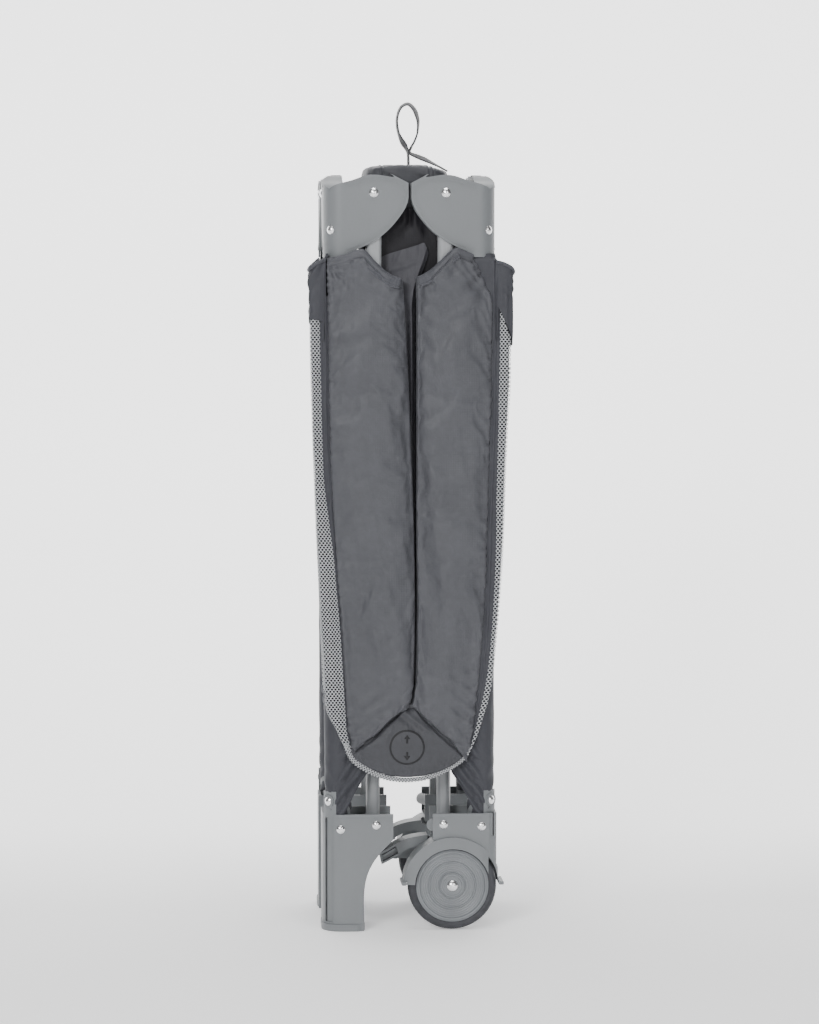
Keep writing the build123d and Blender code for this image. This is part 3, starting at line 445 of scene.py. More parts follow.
def new_object(name, verts, faces, mat, uv=None, uv_name="cloth"):
    """verts in millimetres, row frame."""
    me = bpy.data.meshes.new(name)
    me.from_pydata([tuple(v) for v in np.asarray(verts) * MM], [], faces)
    if uv is not None:
        layer = me.uv_layers.new(name=uv_name)
        loops = np.zeros(len(me.loops), int)
        me.loops.foreach_get("vertex_index", loops)
        layer.data.foreach_set("uv", np.asarray(uv, float)[loops].ravel())
    me.validate()
    for p in me.polygons:
        p.use_smooth = True
    me.materials.append(mat)
    ob = bpy.data.objects.new(name, me)
    bpy.context.scene.collection.objects.link(ob)
    return ob


def grid_faces(rows, cols, wrap=False, flip=False):
    faces = []
    last = cols if wrap else cols - 1
    for r in range(rows - 1):
        for c in range(last):
            c1 = (c + 1) % cols
            f = (r * cols + c, r * cols + c1, (r + 1) * cols + c1, (r + 1) * cols + c)
            faces.append(f[::-1] if flip else f)
    return faces


def co_of(ob):
    co = np.zeros(len(ob.data.vertices) * 3)
    ob.data.vertices.foreach_get("co", co)
    return co.reshape(-1, 3) / MM


def set_co(ob, co):
    ob.data.vertices.foreach_set("co", (np.asarray(co) * MM).ravel())
    ob.data.update()


def normals_of(ob):
    no = np.zeros(len(ob.data.vertices) * 3)
    ob.data.vertices.foreach_get("normal", no)
    return no.reshape(-1, 3)


def outward(ob):
    bm = bmesh.new()
    bm.from_mesh(ob.data)
    bmesh.ops.recalc_face_normals(bm, faces=bm.faces)
    bm.to_mesh(ob.data)
    bm.free()
    ob.data.update()


def apply_modifiers(ob):
    dg = bpy.context.evaluated_depsgraph_get()
    me = bpy.data.meshes.new_from_object(ob.evaluated_get(dg), depsgraph=dg)
    ob.modifiers.clear()
    old = ob.data
    ob.data = me
    bpy.data.meshes.remove(old)
    return ob


def subdivide(ob, levels=1):
    m = ob.modifiers.new("sub", "SUBSURF")
    m.levels = m.render_levels = levels
    return apply_modifiers(ob)


def mirrored(ob, name, flip_x=False, flip_y=False):
    """A copy of a finished piece on the other side, with its faces turned back outwards."""
    me = ob.data.copy()
    me.name = name
    k = (-1 if flip_x else 1, -1 if flip_y else 1)
    me.transform(Matrix.Diagonal((k[0], k[1], 1, 1)))
    if k[0] * k[1] < 0:
        me.flip_normals()
    new = bpy.data.objects.new(name, me)
    bpy.context.scene.collection.objects.link(new)
    return new


def cloth_puff(ob, pin, frames=16, pressure=3.0, grow=0.04, cap=5.0, hold=None):
    """Inflates a pad with Blender's cloth: pinned vertices stay, the rest fills out and buckles.
    pin is a weight per vertex. No point moves further than cap millimetres."""
    start = co_of(ob)
    g = ob.vertex_groups.new(name="pin")
    for w in np.unique(np.round(pin, 2)):
        if w > 0:
            g.add([int(i) for i in np.nonzero(np.abs(np.round(pin, 2) - w) < 1e-6)[0]], float(w), "REPLACE")
    m = ob.modifiers.new("cloth", "CLOTH")
    s = m.settings
    s.quality = 6
    s.mass = 0.25
    s.tension_stiffness = 18
    s.compression_stiffness = 10
    s.shear_stiffness = 8
    s.bending_stiffness = 1.2
    s.tension_damping = s.compression_damping = s.shear_damping = 12
    s.air_damping = 3
    s.vertex_group_mass = "pin"
    s.pin_stiffness = 3
    s.use_pressure = True
    s.uniform_pressure_force = pressure
    s.shrink_min = -grow
    s.effector_weights.gravity = 0
    m.collision_settings.use_collision = False
    m.collision_settings.use_self_collision = False
    m.point_cache.frame_start, m.point_cache.frame_end = 1, frames
    sc = bpy.context.scene
    for f in range(1, frames + 1):
        sc.frame_set(f)
    apply_modifiers(ob)
    sc.frame_set(1)
    moved = co_of(ob) - start
    moved[~np.isfinite(moved)] = 0
    length = np.linalg.norm(moved, axis=1, keepdims=True)
    soft = cap * np.tanh(length / cap)
    moved = moved * np.where(length > 1e-9, soft / np.maximum(length, 1e-9), 0)
    set_co(ob, start + moved)
    ob.vertex_groups.clear()
    return ob


# ------------------------------------------------------------------ long padded panels
# outlines in the front view, (x, z); the left panel of the front pair, then the right one
LEFT = {
    "outer": [(182, -57), (212, -63.6), (250, -66.2), (307, -69.3), (373.7, -74.4), (485, -80.3), (616, -82.3), (666.6, -83.6), (679, -84)],
    "centre": [(229, -1.0), (238, 1.2), (262.6, 4.2), (333, 5.3), (420, 3.9), (454.5, 2.8), (480, 1.8), (540, -0.4), (600, -3.6), (651, -6.6), (657, -7.4)],
    "top": [(-84, 678.4), (-66, 681.3), (-55, 685.2), (-48, 686.6), (-37, 676.5), (-24.7, 664.8), (-16, 659.6), (-7.4, 656.8)],
    "bottom": [(-57, 181.0), (-45, 189.6), (-33.8, 199), (-14.6, 216.6), (-1.0, 229.5)],
    "crown": 97.0,
    "fall": 0.6,
}
RIGHT = {
    "outer": [(171.7, 57.4), (192, 61.8), (232, 66.9), (293, 73.0), (373.7, 77.2), (535, 81.3), (631, 82.6), (655, 74), (679, 63.5), (685, 61)],
    "centre": [(229, 1.4), (238, 3.8), (262.6, 6.4), (333, 7.2), (420, 6.4), (480, 6.6), (540, 6.5), (600, 6.5), (651, 6.2), (659, 5.8)],
    "top": [(5.8, 658.8), (12, 661.2), (20.7, 666.6), (31, 676), (41, 685.3), (47, 688.2), (55, 685.4), (61, 682.8)],
    "bottom": [(1.4, 229.5), (15.7, 212.4), (35.9, 193.8), (57.4, 171)],
    "crown": 97.6,
    "fall": 3.6,
}
# closed section of a panel: share of the way from the outer seam to the middle edge, and depth
SECTION = [
    (0.0, 88.2), (0.012, 89.9), (0.05, 91.4), (0.13, 93.1), (0.28, 95.2), (0.50, 96.8), (0.70, 97.0),
    (0.86, 95.5), (0.94, 92.2), (0.985, 87.4), (1.0, 81.0), (0.985, 73.5), (0.94, 68.2), (0.84, 65.2),
    (0.66, 64.0), (0.48, 64.2), (0.39, 66.2), (0.345, 71.0), (0.325, 78.5), (0.29, 84.2), (0.22, 86.6), (0.10, 86.9),
    (0.03, 87.2),
]


def closed_section(points, width, count):
    """Smooth closed loop through (share, depth) points, evenly spaced."""
    p = np.array([(a * width, b) for a, b in points], float)
    n = len(p)
    fine = []
    for i in range(n):
        p0, p1, p2, p3 = p[i - 1], p[i], p[(i + 1) % n], p[(i + 2) % n]
        for t in np.linspace(0, 1, 24, endpoint=False):
            fine.append(
                0.5
                * (
                    2 * p1
                    + (p2 - p0) * t
                    + (2 * p0 - 5 * p1 + 4 * p2 - p3) * t * t
                    + (3 * p1 - p0 - 3 * p2 + p3) * t**3
                )
            )
    fine = np.array(fine + [fine[0]])
    seg = np.r_[0, np.cumsum(np.linalg.norm(np.diff(fine, axis=0), axis=1))]
    at = np.linspace(0, seg[-1], count, endpoint=False)
    return np.c_[
        np.interp(at, seg, fine[:, 0]) / width, np.interp(at, seg, fine[:, 1])
    ]


def panel_mesh(name, shape, rows=150, cols=92):
    """One long padded panel, built at the front (y < 0) with x as in the front view."""
    sec = closed_section(SECTION, 85.0, cols)
    s, depth = sec[:, 0], sec[:, 1]
    s = np.clip(s, 0, 1)
    oz, ox = np.array(shape["outer"]).T
    cz, cx = np.array(shape["centre"]).T
    order = np.argsort([a for a, b in shape["top"]])
    tx, tz = np.array(shape["top"])[order].T
    bx, bz = np.array(shape["bottom"])[np.argsort([a for a, b in shape["bottom"]])].T
    top_o, top_c = interp(max(oz), oz, ox), interp(max(cz), cz, cx)
    bot_o, bot_c = interp(min(oz), oz, ox), interp(min(cz), cz, cx)
    ztop = interp(top_o + (top_c - top_o) * s, tx, tz)
    zbot = interp(bot_o + (bot_c - bot_o) * s, bx, bz)
    t = np.linspace(0, 1, rows)
    t = 0.5 - 0.5 * np.cos(np.pi * (0.04 + 0.92 * t))
    t = (t - t[0]) / (t[-1] - t[0])
    z = zbot[None, :] + (ztop - zbot)[None, :] * t[:, None]
    xo, xc = interp(z, oz, ox), interp(z, cz, cx)
    x = xo + (xc - xo) * s[None, :]
    v = np.repeat(depth[None, :], rows, 0)
    # crown height, and the deep inner half only above the latch
    front = v > 88.2
    v = np.where(front, 88.2 + (v - 88.2) * (shape["crown"] - 88.2) / 8.8, v)
    v = np.where(front, np.maximum(v - shape["fall"] * step(0.70, 0.97, s)[None, :], 88.2), v)
    deep = step(224, 243, z)
    v = np.where(v < 87.2, 87.6 + (v - 87.6) * deep, v)
    # the two cut ends roll in
    end_b = np.clip((z - zbot[None, :]) / 5.0, 0, 1)
    end_t = np.clip((ztop[None, :] - z) / 5.0, 0, 1)
    roll = np.sqrt(np.clip(1 - (1 - end_b) ** 2, 0, 1))
    v = np.where(v > 89.5, 89.5 + (v - 89.5) * (0.12 + 0.88 * roll), v)
    lip = np.sqrt(np.clip(1 - (1 - end_t) ** 2, 0, 1))
    v = np.where(v > 89.5, 89.5 + (v - 89.5) * (0.55 + 0.45 * lip), v)
    P = np.stack([x, -v, z], -1).reshape(-1, 3)
    faces = grid_faces(rows, cols, wrap=True)
    # close both ends with two inner rings and a middle point
    verts = [P]
    count = len(P)
    for row, inward in ((0, 1.0), (rows - 1, -1.0)):
        ring = P[row * cols : (row + 1) * cols]
        mid = ring.mean(0)
        prev = list(range(row * cols, (row + 1) * cols))
        for k, drop in ((0.88, 1.4), (0.6, 3.2), (0.25, 4.0)):
            r = mid + (ring - mid) * k
            r[:, 2] += inward * drop
            idx = list(range(count, count + cols))
            verts.append(r)
            count += cols
            for c in range(cols):
                c1 = (c + 1) % cols
                faces.append((prev[c], idx[c], idx[c1], prev[c1]))
            prev = idx
        verts.append(mid[None, :] + np.array([[0, 0, inward * 4.2]]))
        for c in range(cols):
            faces.append((prev[c], count, prev[(c + 1) % cols]))
        count += 1
    V = np.concatenate(verts)
    ob = new_object(name, V, faces, MAT["panel"])
    outward(ob)
    # pinned: seam, the hidden back, both ends
    S = np.concatenate([np.tile(s, rows), np.zeros(len(V) - rows * cols)])
    T = np.concatenate([np.repeat(t, cols), np.ones(len(V) - rows * cols)])
    D = np.abs(V[:, 1])
    pin = np.zeros(len(V))
    pin[(S < 0.02) | (D < 80) | (T < 0.012) | (T > 0.988)] = 1.0
    pin[(S >= 0.02) & (S < 0.06) & (pin < 1)] = 0.6
    pin[rows * cols :] = 1.0
    return ob, S


def dress_panel(ob, shape, seed):
    """Seam puckers, pulls from the corners and long soft wrinkles, on the finer mesh."""
    co, no = co_of(ob), normals_of(ob)
    oz, ox = np.array(shape["outer"]).T
    cz, cx = np.array(shape["centre"]).T
    z = co[:, 2]
    xo, xc = interp(z, oz, ox), interp(z, cz, cx)
    s = np.clip((co[:, 0] - xo) / (xc - xo), -0.2, 1.2)
    front = step(86.5, 90.5, -co[:, 1])
    d_seam = np.abs(co[:, 0] - xo)
    wob = vnoise(co, (60, 60, 31), seed) * 3.2
    puck = np.sin((z + wob * 2) * 2 * math.pi / 12.6) + 0.45 * np.sin((z - wob) * 2 * math.pi / 7.7 + 1.0)
    amp = 0.55 + 0.45 * vnoise(co, (50, 50, 42), seed + 3)
    puck = puck + 0.6 * np.sin((z + wob) * 2 * math.pi / 5.4)
    h = -1.35 * np.exp(-d_seam / 6.0) * puck * amp
    h += -0.5 * np.exp(-((d_seam - 9) / 7.0) ** 2) * (1 + vnoise(co, (40, 40, 55), seed + 9))
    # long soft folds, up and down, leaning a little
    lean = co + np.c_[0.16 * (z - 430), 0 * z, 0 * z]
    h += 2.7 * vnoise(lean, (19, 40, 110), seed + 1) * (0.35 + 0.65 * s)
    h += 0.8 * vnoise(lean, (8, 30, 60), seed + 2)
    # short pulls running in from the middle edge
    edge = np.abs(co[:, 0] - xc)
    h += 0.85 * np.exp(-edge / 17) * step(0, 5, edge) * np.sin((z + 0.5 * edge) * 2 * math.pi / 23 + 3 * vnoise(co, (40, 40, 60), seed + 12)) * (
        0.5 + 0.9 * vnoise(co, (40, 40, 80), seed + 13)
    )
    # pulls fanning down from the top corner and up from the crease
    tip = np.array([xo.max() if xo.mean() > 0 else xo.min(), 672.0])
    r = np.hypot(co[:, 0] - tip[0], z - tip[1])
    a = np.arctan2(z - tip[1], co[:, 0] - tip[0])
    h += 1.15 * np.exp(-r / 70) * np.sin(a * 13 + seed) * step(3, 14, r)
    crease = step(300, 215, z)
    diag = co[:, 0] * (1 if xo.mean() < 0 else -1) * 0.72 - z
    h += 1.6 * crease * np.sin(diag * 2 * math.pi / 17 + 1.3 * vnoise(co, (40, 40, 40), seed + 5)) * (
        0.4 + 0.6 * vnoise(co, (30, 40, 30), seed + 6)
    )
    # gathers under the binding of the neckline
    ztop = interp(co[:, 0], *np.array(sorted(shape["top"])).T)
    below = np.clip(ztop - z, 0, 200)
    along = co[:, 0] + 0.55 * (ztop - z) * vnoise(co, (35, 35, 35), seed + 7)
    h += 1.0 * np.exp(-below / 17) * step(6, 10, below) * np.sin(along * 2 * math.pi / 9.5)
    h -= 1.7 * np.exp(-((below - 8.4) / 1.3) ** 2)
    set_co(ob, co + no * (h * front)[:, None])
    return ob



def long_panels():
    made = {}
    for key, shape, seed in (("left", LEFT, 1), ("right", RIGHT, 4)):
        ob, S = panel_mesh(f"panel_front_{key}", shape)
        V = co_of(ob)
        D = -V[:, 1]
        oz, ox = np.array(shape["outer"]).T
        cz, cx = np.array(shape["centre"]).T
        xo, xc = interp(V[:, 2], oz, ox), interp(V[:, 2], cz, cx)
        s = (V[:, 0] - xo) / (xc - xo)
        ztop = interp(V[:, 0], *np.array(sorted(shape["top"])).T)
        zbot = interp(V[:, 0], *np.array(sorted(shape["bottom"])).T)
        pin = np.zeros(len(V))
        pin[(D < 86) | (s < 0.02) | (ztop - V[:, 2] < 9) | (V[:, 2] - zbot < 5)] = 1.0
        pin[(s < 0.05) & (pin < 1)] = 0.7
        cloth_puff(ob, pin, frames=14, pressure=2.2, grow=0.035, cap=3.2)
        co = co_of(ob)
        co[:, 0] = np.clip(co[:, 0], -120, xc.max()) if key == "left" else np.clip(co[:, 0], 1.2, 120)
        set_co(ob, co)
        subdivide(ob, 1)
        dress_panel(ob, shape, seed)
        made[key] = ob
    for key, ob in list(made.items()):
        back = mirrored(ob, f"panel_back_{key}", flip_y=True)
        for side, piece in (("front", ob), ("back", back)):
            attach(piece, f"rail_{side}_{key}")
            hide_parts(f"cover_{side}_{key}")


def strip(name, path, outward_dir, width, thick, mat, normal=None, segs=6):
    """A flat tape along a path of (n, 3) points: across-direction per point, rounded edges."""
    path = np.asarray(path, float)
    n = len(path)
    across = np.asarray(outward_dir, float)
    if across.ndim == 1:
        across = np.repeat(across[None, :], n, 0)
    across = across / np.linalg.norm(across, axis=1, keepdims=True)
    tang = np.gradient(path, axis=0)
    tang /= np.linalg.norm(tang, axis=1, keepdims=True)
    nor = np.cross(tang, across)
    nor /= np.linalg.norm(nor, axis=1, keepdims=True)
    if normal is not None:
        sign = np.sign((nor * np.asarray(normal, float)).sum(1, keepdims=True))
        nor = nor * np.where(sign == 0, 1, sign)
    ang = np.linspace(0, 2 * math.pi, 2 * segs + 8, endpoint=False)
    ca, sa = np.cos(ang), np.sin(ang)
    prof_a = np.sign(ca) * np.abs(ca) ** 0.55 * width / 2
    prof_n = np.sign(sa) * np.abs(sa) ** 0.8 * thick / 2
    V = path[:, None, :] + across[:, None, :] * prof_a[None, :, None] + nor[:, None, :] * prof_n[None, :, None]
    cols = len(ang)
    length = np.r_[0, np.cumsum(np.linalg.norm(np.diff(path, axis=0), axis=1))]
    uv = np.stack(
        [np.repeat(length[:, None], cols, 1), np.repeat((prof_a / width + 0.5)[None, :], n, 0)], -1
    ).reshape(-1, 2)
    faces = grid_faces(n, cols, wrap=True)
    faces.append(tuple(range(cols))[::-1])
    faces.append(tuple(range((n - 1) * cols, n * cols)))
    ob = new_object(name, V.reshape(-1, 3), faces, mat, uv=uv, uv_name="tape")
    outward(ob)
    return ob


def neck_binding():
    """Bound edge of the neckline on each long panel: a folded tape with two rows of stitches."""
    for key, shape in (("left", LEFT), ("right", RIGHT)):
        top = np.array(sorted(shape["top"]))
        if key == "left":
            x = np.linspace(-50.5, -9.2, 90)
        else:
            x = np.linspace(7.2, 46.0, 90)
        z = interp(x, *top.T)
        p = np.c_[x, np.full_like(x, 0.0), z]
        d = np.gradient(p[:, [0, 2]], axis=0)
        d /= np.linalg.norm(d, axis=1, keepdims=True)
        down = np.c_[d[:, 1], 0 * x, -d[:, 0]]
        down *= np.sign(-down[:, 2:3])
        wav = 0.5 * np.sin(x * 0.9) + 0.35 * np.sin(x * 2.3 + 1)
        mid = p + down * 5.0
        mid[:, 1] = -(94.0 + 0.4 * wav)
        across = down + np.array([[0, -0.42, 0]])
        ob = strip(f"neck_binding_front_{key}", mid, across, 12.0, 2.0, MAT["binding"], normal=(0, -1, 0), segs=14)
        subdivide(ob, 1)
        co = co_of(ob)
        no = normals_of(ob)
        # two stitched rows
        side = across / np.linalg.norm(across, axis=1, keepdims=True)
        near = np.abs(co[:, 0][:, None] - mid[:, 0][None, :]).argmin(1)
        off = ((co - mid[near]) * side[near]).sum(1)
        for row in (-4.0, -2.6, 3.6):
            co -= no * (0.75 * np.exp(-(((off - row) / 0.5) ** 2)))[:, None]
        co += no * (0.22 * vnoise(co, (5, 5, 5), 3))[:, None]
        set_co(ob, co)
        subdivide(ob, 1)
        back = mirrored(ob, f"neck_binding_back_{key}", flip_y=True)
        for side, piece in (("front", ob), ("back", back)):
            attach(piece, f"rail_{side}_{key}")


long_panels()
neck_binding()


# ------------------------------------------------------------------ padded boots over the rail latches
BOOT_BOTTOM = [
    (-61.5, 186), (-59.8, 181.0), (-55.2, 174.6), (-43.5, 166.4), (-31, 160.4), (-17, 156.6), (-4, 155.4),
    (9, 156.2), (24, 159.6), (36.5, 164.6), (47.0, 170.6), (53.0, 175.6), (57.4, 182),
]
BOOT_TOP = [(-61.5, 187.5), (-59, 189), (-55, 193), (-50, 204), (-30, 222), (-10, 229.6), (0, 230.4), (10, 229.4), (30, 217), (48, 200), (52, 191), (55.5, 186), (57.4, 184)]
CREASE = [(-58, 181.5), (-45, 190.6), (-33.8, 199.8), (-14.6, 217.6), (0, 229.5), (15.7, 213.4), (35.9, 194.4), (58.5, 172)]
BOOT_X = (-61.2, 57.2)
PRINT = (-3.5, 187.8)


def boot_mesh(name):
    cols, rows = 132, 60
    xs = np.linspace(BOOT_X[0], BOOT_X[1], cols)
    # loop of (share of height, depth) with b standing for the hidden back's depth
    front = [(1.0, 89.6), (0.9, 91.4), (0.76, 93.4), (0.6, 94.4), (0.42, 94.0), (0.25, 92.6), (0.12, 90.8), (0.04, 89.2), (0.0, 87.4)]
    back = [(0.02, 85.0), (0.04, 0.72), (0.07, 0.35), (0.14, 0.06), (0.35, 0.0), (0.65, 0.0), (0.9, 0.02), (0.985, 0.2), (1.0, 0.6)]
    P = np.zeros((cols, rows, 3))
    zb = interp(xs, *np.array(BOOT_BOTTOM).T)
    zt = interp(xs, *np.array(BOOT_TOP).T)
    for i, x in enumerate(xs):
        side = BOOT_X[0] if x < 0 else BOOT_X[1]
        edge = np.sqrt(max(0.0, 1 - (abs(x) / abs(side)) ** 7))
        vb = 63.8 + (86.9 - 63.8) * step(46, 54, abs(x))
        pts = [(q, 88.2 + (v - 88.2) * (0.25 + 0.75 * edge)) for q, v in front]
        pts += [(q, v if v > 5 else vb + (85.6 - vb) * v) for q, v in back]
        loop = closed_section([(q * (zt[i] - zb[i]) / 60, v) for q, v in pts], 60.0, rows)
        P[i, :, 0] = x
        P[i, :, 1] = -loop[:, 1]
        P[i, :, 2] = zb[i] + loop[:, 0] * 60
    V = [P.reshape(-1, 3)]
    faces = grid_faces(cols, rows, wrap=True)
    n = cols * rows
    for r in (0, cols - 1):
        V.append(P[r].mean(0)[None, :])
        for c in range(rows):
            faces.append((r * rows + c, r * rows + (c + 1) % rows, n))
        n += 1
    ob = new_object(name, np.concatenate(V), faces, MAT["boot"])
    outward(ob)
    co = co_of(ob)
    D = -co[:, 1]
    z0 = interp(co[:, 0], *np.array(BOOT_BOTTOM).T)
    pin = np.where((D < 86) | (co[:, 2] - z0 < 4) | (co[:, 2] > 214) | (np.abs(co[:, 0]) > 53), 1.0, 0.0)
    cloth_puff(ob, pin, frames=12, pressure=1.8, grow=0.03, cap=2.2)
    subdivide(ob, 1)
    co, no = co_of(ob), normals_of(ob)
    f = step(87.5, 91, -co[:, 1])
    z0 = interp(co[:, 0], *np.array(BOOT_BOTTOM).T)
    up = co[:, 2] - z0
    h = 0.8 * vnoise(co, (24, 40, 17), 21) + 0.35 * vnoise(co, (9, 20, 8), 22)
    # folds that run in under each panel's edge
    sd = np.sign(co[:, 0])
    run = co[:, 0] * sd * 0.75 + co[:, 2]
    h += 0.7 * np.sin(run * 2 * math.pi / 21 + 2 * vnoise(co, (30, 30, 30), 23)) * step(12, 40, np.abs(co[:, 0])) * 0.8
    fold = (co[:, 0] - 8) * 0.62 + (co[:, 2] - 212) * 0.78
    h += 1.9 * np.exp(-((fold / 2.2) ** 2)) * step(201, 206, co[:, 2]) * step(20, 10, np.abs(co[:, 0] - 6))
    h -= 1.6 * np.exp(-(((fold + 5.5) / 3.4) ** 2)) * step(201, 208, co[:, 2]) * step(22, 12, np.abs(co[:, 0] - 4))
    h -= 1.5 * step(206, 222, co[:, 2])
    h -= 0.5 * np.exp(-((up - 5) / 2.2) ** 2) * (1 + np.sin(co[:, 0] * 2 * math.pi / 8.5))
    # tucked in deep along the panels' lower edges
    above = co[:, 2] - interp(co[:, 0], *np.array(CREASE).T)
    h -= 4.2 * step(-2.0, 0.6, above)
    h -= 5.0 * np.exp(-((co[:, 0] / 5.5) ** 2)) * step(221.5, 227.5, co[:, 2])
    # the push button makes a slight round lift
    rr = np.hypot(co[:, 0] - PRINT[0], co[:, 2] - PRINT[1])
    h += 0.7 * step(19.5, 15.0, rr) - 0.45 * np.exp(-(((rr - 18.6) / 1.6) ** 2))
    set_co(ob, co + no * (h * f)[:, None])
    return ob


def drape_on(target, pts, lift):
    """Moves points (x, z) back along Y onto the front of target, lifted off it a little."""
    from mathutils.bvhtree import BVHTree

    tree = BVHTree.FromPolygons(
        [v.co[:] for v in target.data.vertices], [p.vertices[:] for p in target.data.polygons]
    )
    out = []
    for x, z in pts:
        hit = tree.ray_cast(Vector((x * MM, -0.3, z * MM)), Vector((0, 1, 0)))
        y = hit[0].y / MM if hit[0] is not None else -92.0
        out.append((x, y - lift, z))
    return np.array(out)


def print_ring(name, target):
    """Plain round mark pressed into the cloth over the button: a ring and two small arrows."""
    cx, cz = PRINT
    V, F = [], []
    n = 96
    radii = (15.9, 16.4, 17.3, 17.8)
    for r in radii:
        V += [(cx + r * math.cos(2 * math.pi * i / n), cz + r * math.sin(2 * math.pi * i / n)) for i in range(n)]
    for k in range(len(radii) - 1):
        for i in range(n):
            j = (i + 1) % n
            F.append((k * n + i, (k + 1) * n + i, (k + 1) * n + j, k * n + j))
    for s in (1, -1):
        base = len(V)
        tri = [(0, 13.0), (-3.1, 8.6), (-0.9, 8.6), (-0.9, 4.4), (0.9, 4.4), (0.9, 8.6), (3.1, 8.6)]
        for x, z in tri:
            V.append((cx + x, cz + s * z))
        a = base
        for tri_f in ((a, a + 1, a + 2), (a, a + 2, a + 5), (a, a + 5, a + 6), (a + 2, a + 3, a + 4), (a + 2, a + 4, a + 5)):
            F.append(tri_f)
    P = drape_on(target, V, 0.16)
    ob = new_object(name, P, F, MAT["print"])
    m = ob.modifiers.new("thick", "SOLIDIFY")
    m.thickness = 0.0003
    m.offset = -1
    apply_modifiers(ob)
    outward(ob)
    return ob


def trim_mesh(name):
    """Beaded net edge along the bottom of the boot."""
    x = np.linspace(-63.4, 59.2, 260)
    z = interp(np.clip(x, -61.5, 57.4), *np.array(BOOT_BOTTOM).T)
    z = z + np.where(x < -61.5, (-61.5 - x) * 3.2, 0) + np.where(x > 57.4, (x - 57.4) * 3.2, 0)
    pts = np.c_[x, np.full_like(x, -88.6), z]
    seg = np.r_[0, np.cumsum(np.linalg.norm(np.diff(pts, axis=0), axis=1))]
    at = np.linspace(0, seg[-1], 420)
    pts = np.c_[np.interp(at, seg, pts[:, 0]), np.interp(at, seg, pts[:, 1]), np.interp(at, seg, pts[:, 2])]
    d = np.gradient(pts, axis=0)
    d /= np.linalg.norm(d, axis=1, keepdims=True)
    down = np.c_[d[:, 2], 0 * at, -d[:, 0]]
    down *= np.where(down[:, 2:3] > 0, -1, 1)
    mid = pts + down * 1.6
    ob = strip(name, mid, down, 5.4, 1.9, MAT["trim_net"], normal=(0, -1, 0))
    co = co_of(ob)
    n = len(at)
    cols = len(co) // n
    across = ((co.reshape(n, cols, 3) - mid[:, None, :]) * down[:, None, :]).sum(2)
    bead = 0.55 * np.sin(at * 2 * math.pi / 3.1)[:, None] * step(0.0, 2.4, across)
    co = co.reshape(n, cols, 3) + down[:, None, :] * bead[:, :, None]
    # narrower towards the right end
    keep = interp(mid[:, 0], [-70, -30, 10, 45, 70], [0.96, 0.9, 0.84, 0.66, 0.6])[:, None, None]
    co = mid[:, None, :] + (co - mid[:, None, :]) * keep - down[:, None, :] * 1.2 * (1 - keep)
    set_co(ob, co.reshape(-1, 3))
    layer = ob.data.uv_layers.new(name="net")
    src = ob.data.uv_layers["tape"].data
    for i, d_ in enumerate(layer.data):
        u, v = src[i].uv
        d_.uv = (u, v * 5.4)
    return ob


def turned(ob, name, dz=0.0):
    """The same piece on the left side: turned a quarter about Z, and moved up."""
    me = ob.data.copy()
    me.name = name
    me.transform(Matrix.Translation((0, 0, dz * MM)) @ Matrix.Rotation(-math.pi / 2, 4, "Z"))
    new = bpy.data.objects.new(name, me)
    bpy.context.scene.collection.objects.link(new)
    return new


def latch_boots():
    boot = boot_mesh("latch_boot_front")
    ring = print_ring("button_mark_front", boot)
    trim = trim_mesh("boot_trim_front")
    sets = {"front": (boot, ring, trim)}
    sets["back"] = tuple(mirrored(o, o.name.replace("front", "back"), flip_y=True) for o in sets["front"])
    sets["left"] = tuple(turned(o, o.name.replace("front", "left"), 300.0) for o in sets["front"])
    for o in sets["left"]:
        co = co_of(o)
        d = -co[:, 0]
        co[:, 0] = -np.where(d > 88.0, 88.0 + (d - 88.0) * 0.6, d)
        set_co(o, co)
    sets["right"] = tuple(mirrored(o, o.name.replace("left", "right"), flip_x=True) for o in sets["left"])
    for side, (b, r, t) in sets.items():
        for piece in (b, r, t):
            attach(piece, f"latch_{side}")


# ------------------------------------------------------------------ short padded panels
def lifted(shape):
    """The long panel's outline for a short rail: the same ends, with 300 mm taken out of the run."""
    out = {"crown": shape["crown"], "fall": shape["fall"]}
    for key in ("outer", "centre", "bottom", "top"):
        pts = []
        for p in shape[key]:
            a, b = (p[0], p[1]) if key in ("outer", "centre") else (p[1], p[0])
            z = a + 300 * (1 - float(step(240, 640, a))) if key != "top" else a
            z = min(z, a + 300)
            pts.append((z, b) if key in ("outer", "centre") else (b, z))
        out[key] = pts
    for key in ("outer", "centre"):
        pts = sorted(out[key])
        keep = [pts[0]]
        for p in pts[1:]:
            if p[0] - keep[-1][0] > 4:
                keep.append(p)
        out[key] = keep
    return out


def short_panels():
    for key, other, shape, seed in (("left", "back", LEFT, 11), ("right", "front", RIGHT, 14)):
        sh = lifted(shape)
        ob, S = panel_mesh(f"panel_left_{other}", sh, rows=72, cols=84)
        V = co_of(ob)
        # the deep half stops above the latch of the short rails
        deep = step(524, 543, V[:, 2])
        v = -V[:, 1]
        v = np.where(v < 87.4, 87.6 + (v - 87.6) * deep, v)
        lean = step(628, 676, V[:, 2])
        v = np.where(v > 88.2, 88.2 + (v - 88.2) * (1 - 0.92 * lean), v)
        v = v - 4.6 * step(655, 684, V[:, 2]) * step(84, 87, v)
        V[:, 1] = -v
        set_co(ob, V)
        subdivide(ob, 1)
        dress_panel(ob, sh, seed)
        V = co_of(ob)
        v = -V[:, 1]
        V[:, 1] = -np.where(v > 88.0, 88.0 + (v - 88.0) * 0.6, v)
        set_co(ob, V)
        me = ob.data
        me.transform(Matrix.Rotation(-math.pi / 2, 4, "Z"))
        twin = mirrored(ob, f"panel_right_{other}", flip_x=True)
        for side, piece in (("left", ob), ("right", twin)):
            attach(piece, f"rail_{side}_{other}")
            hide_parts(f"cover_{side}_{other}")


latch_boots()
short_panels()



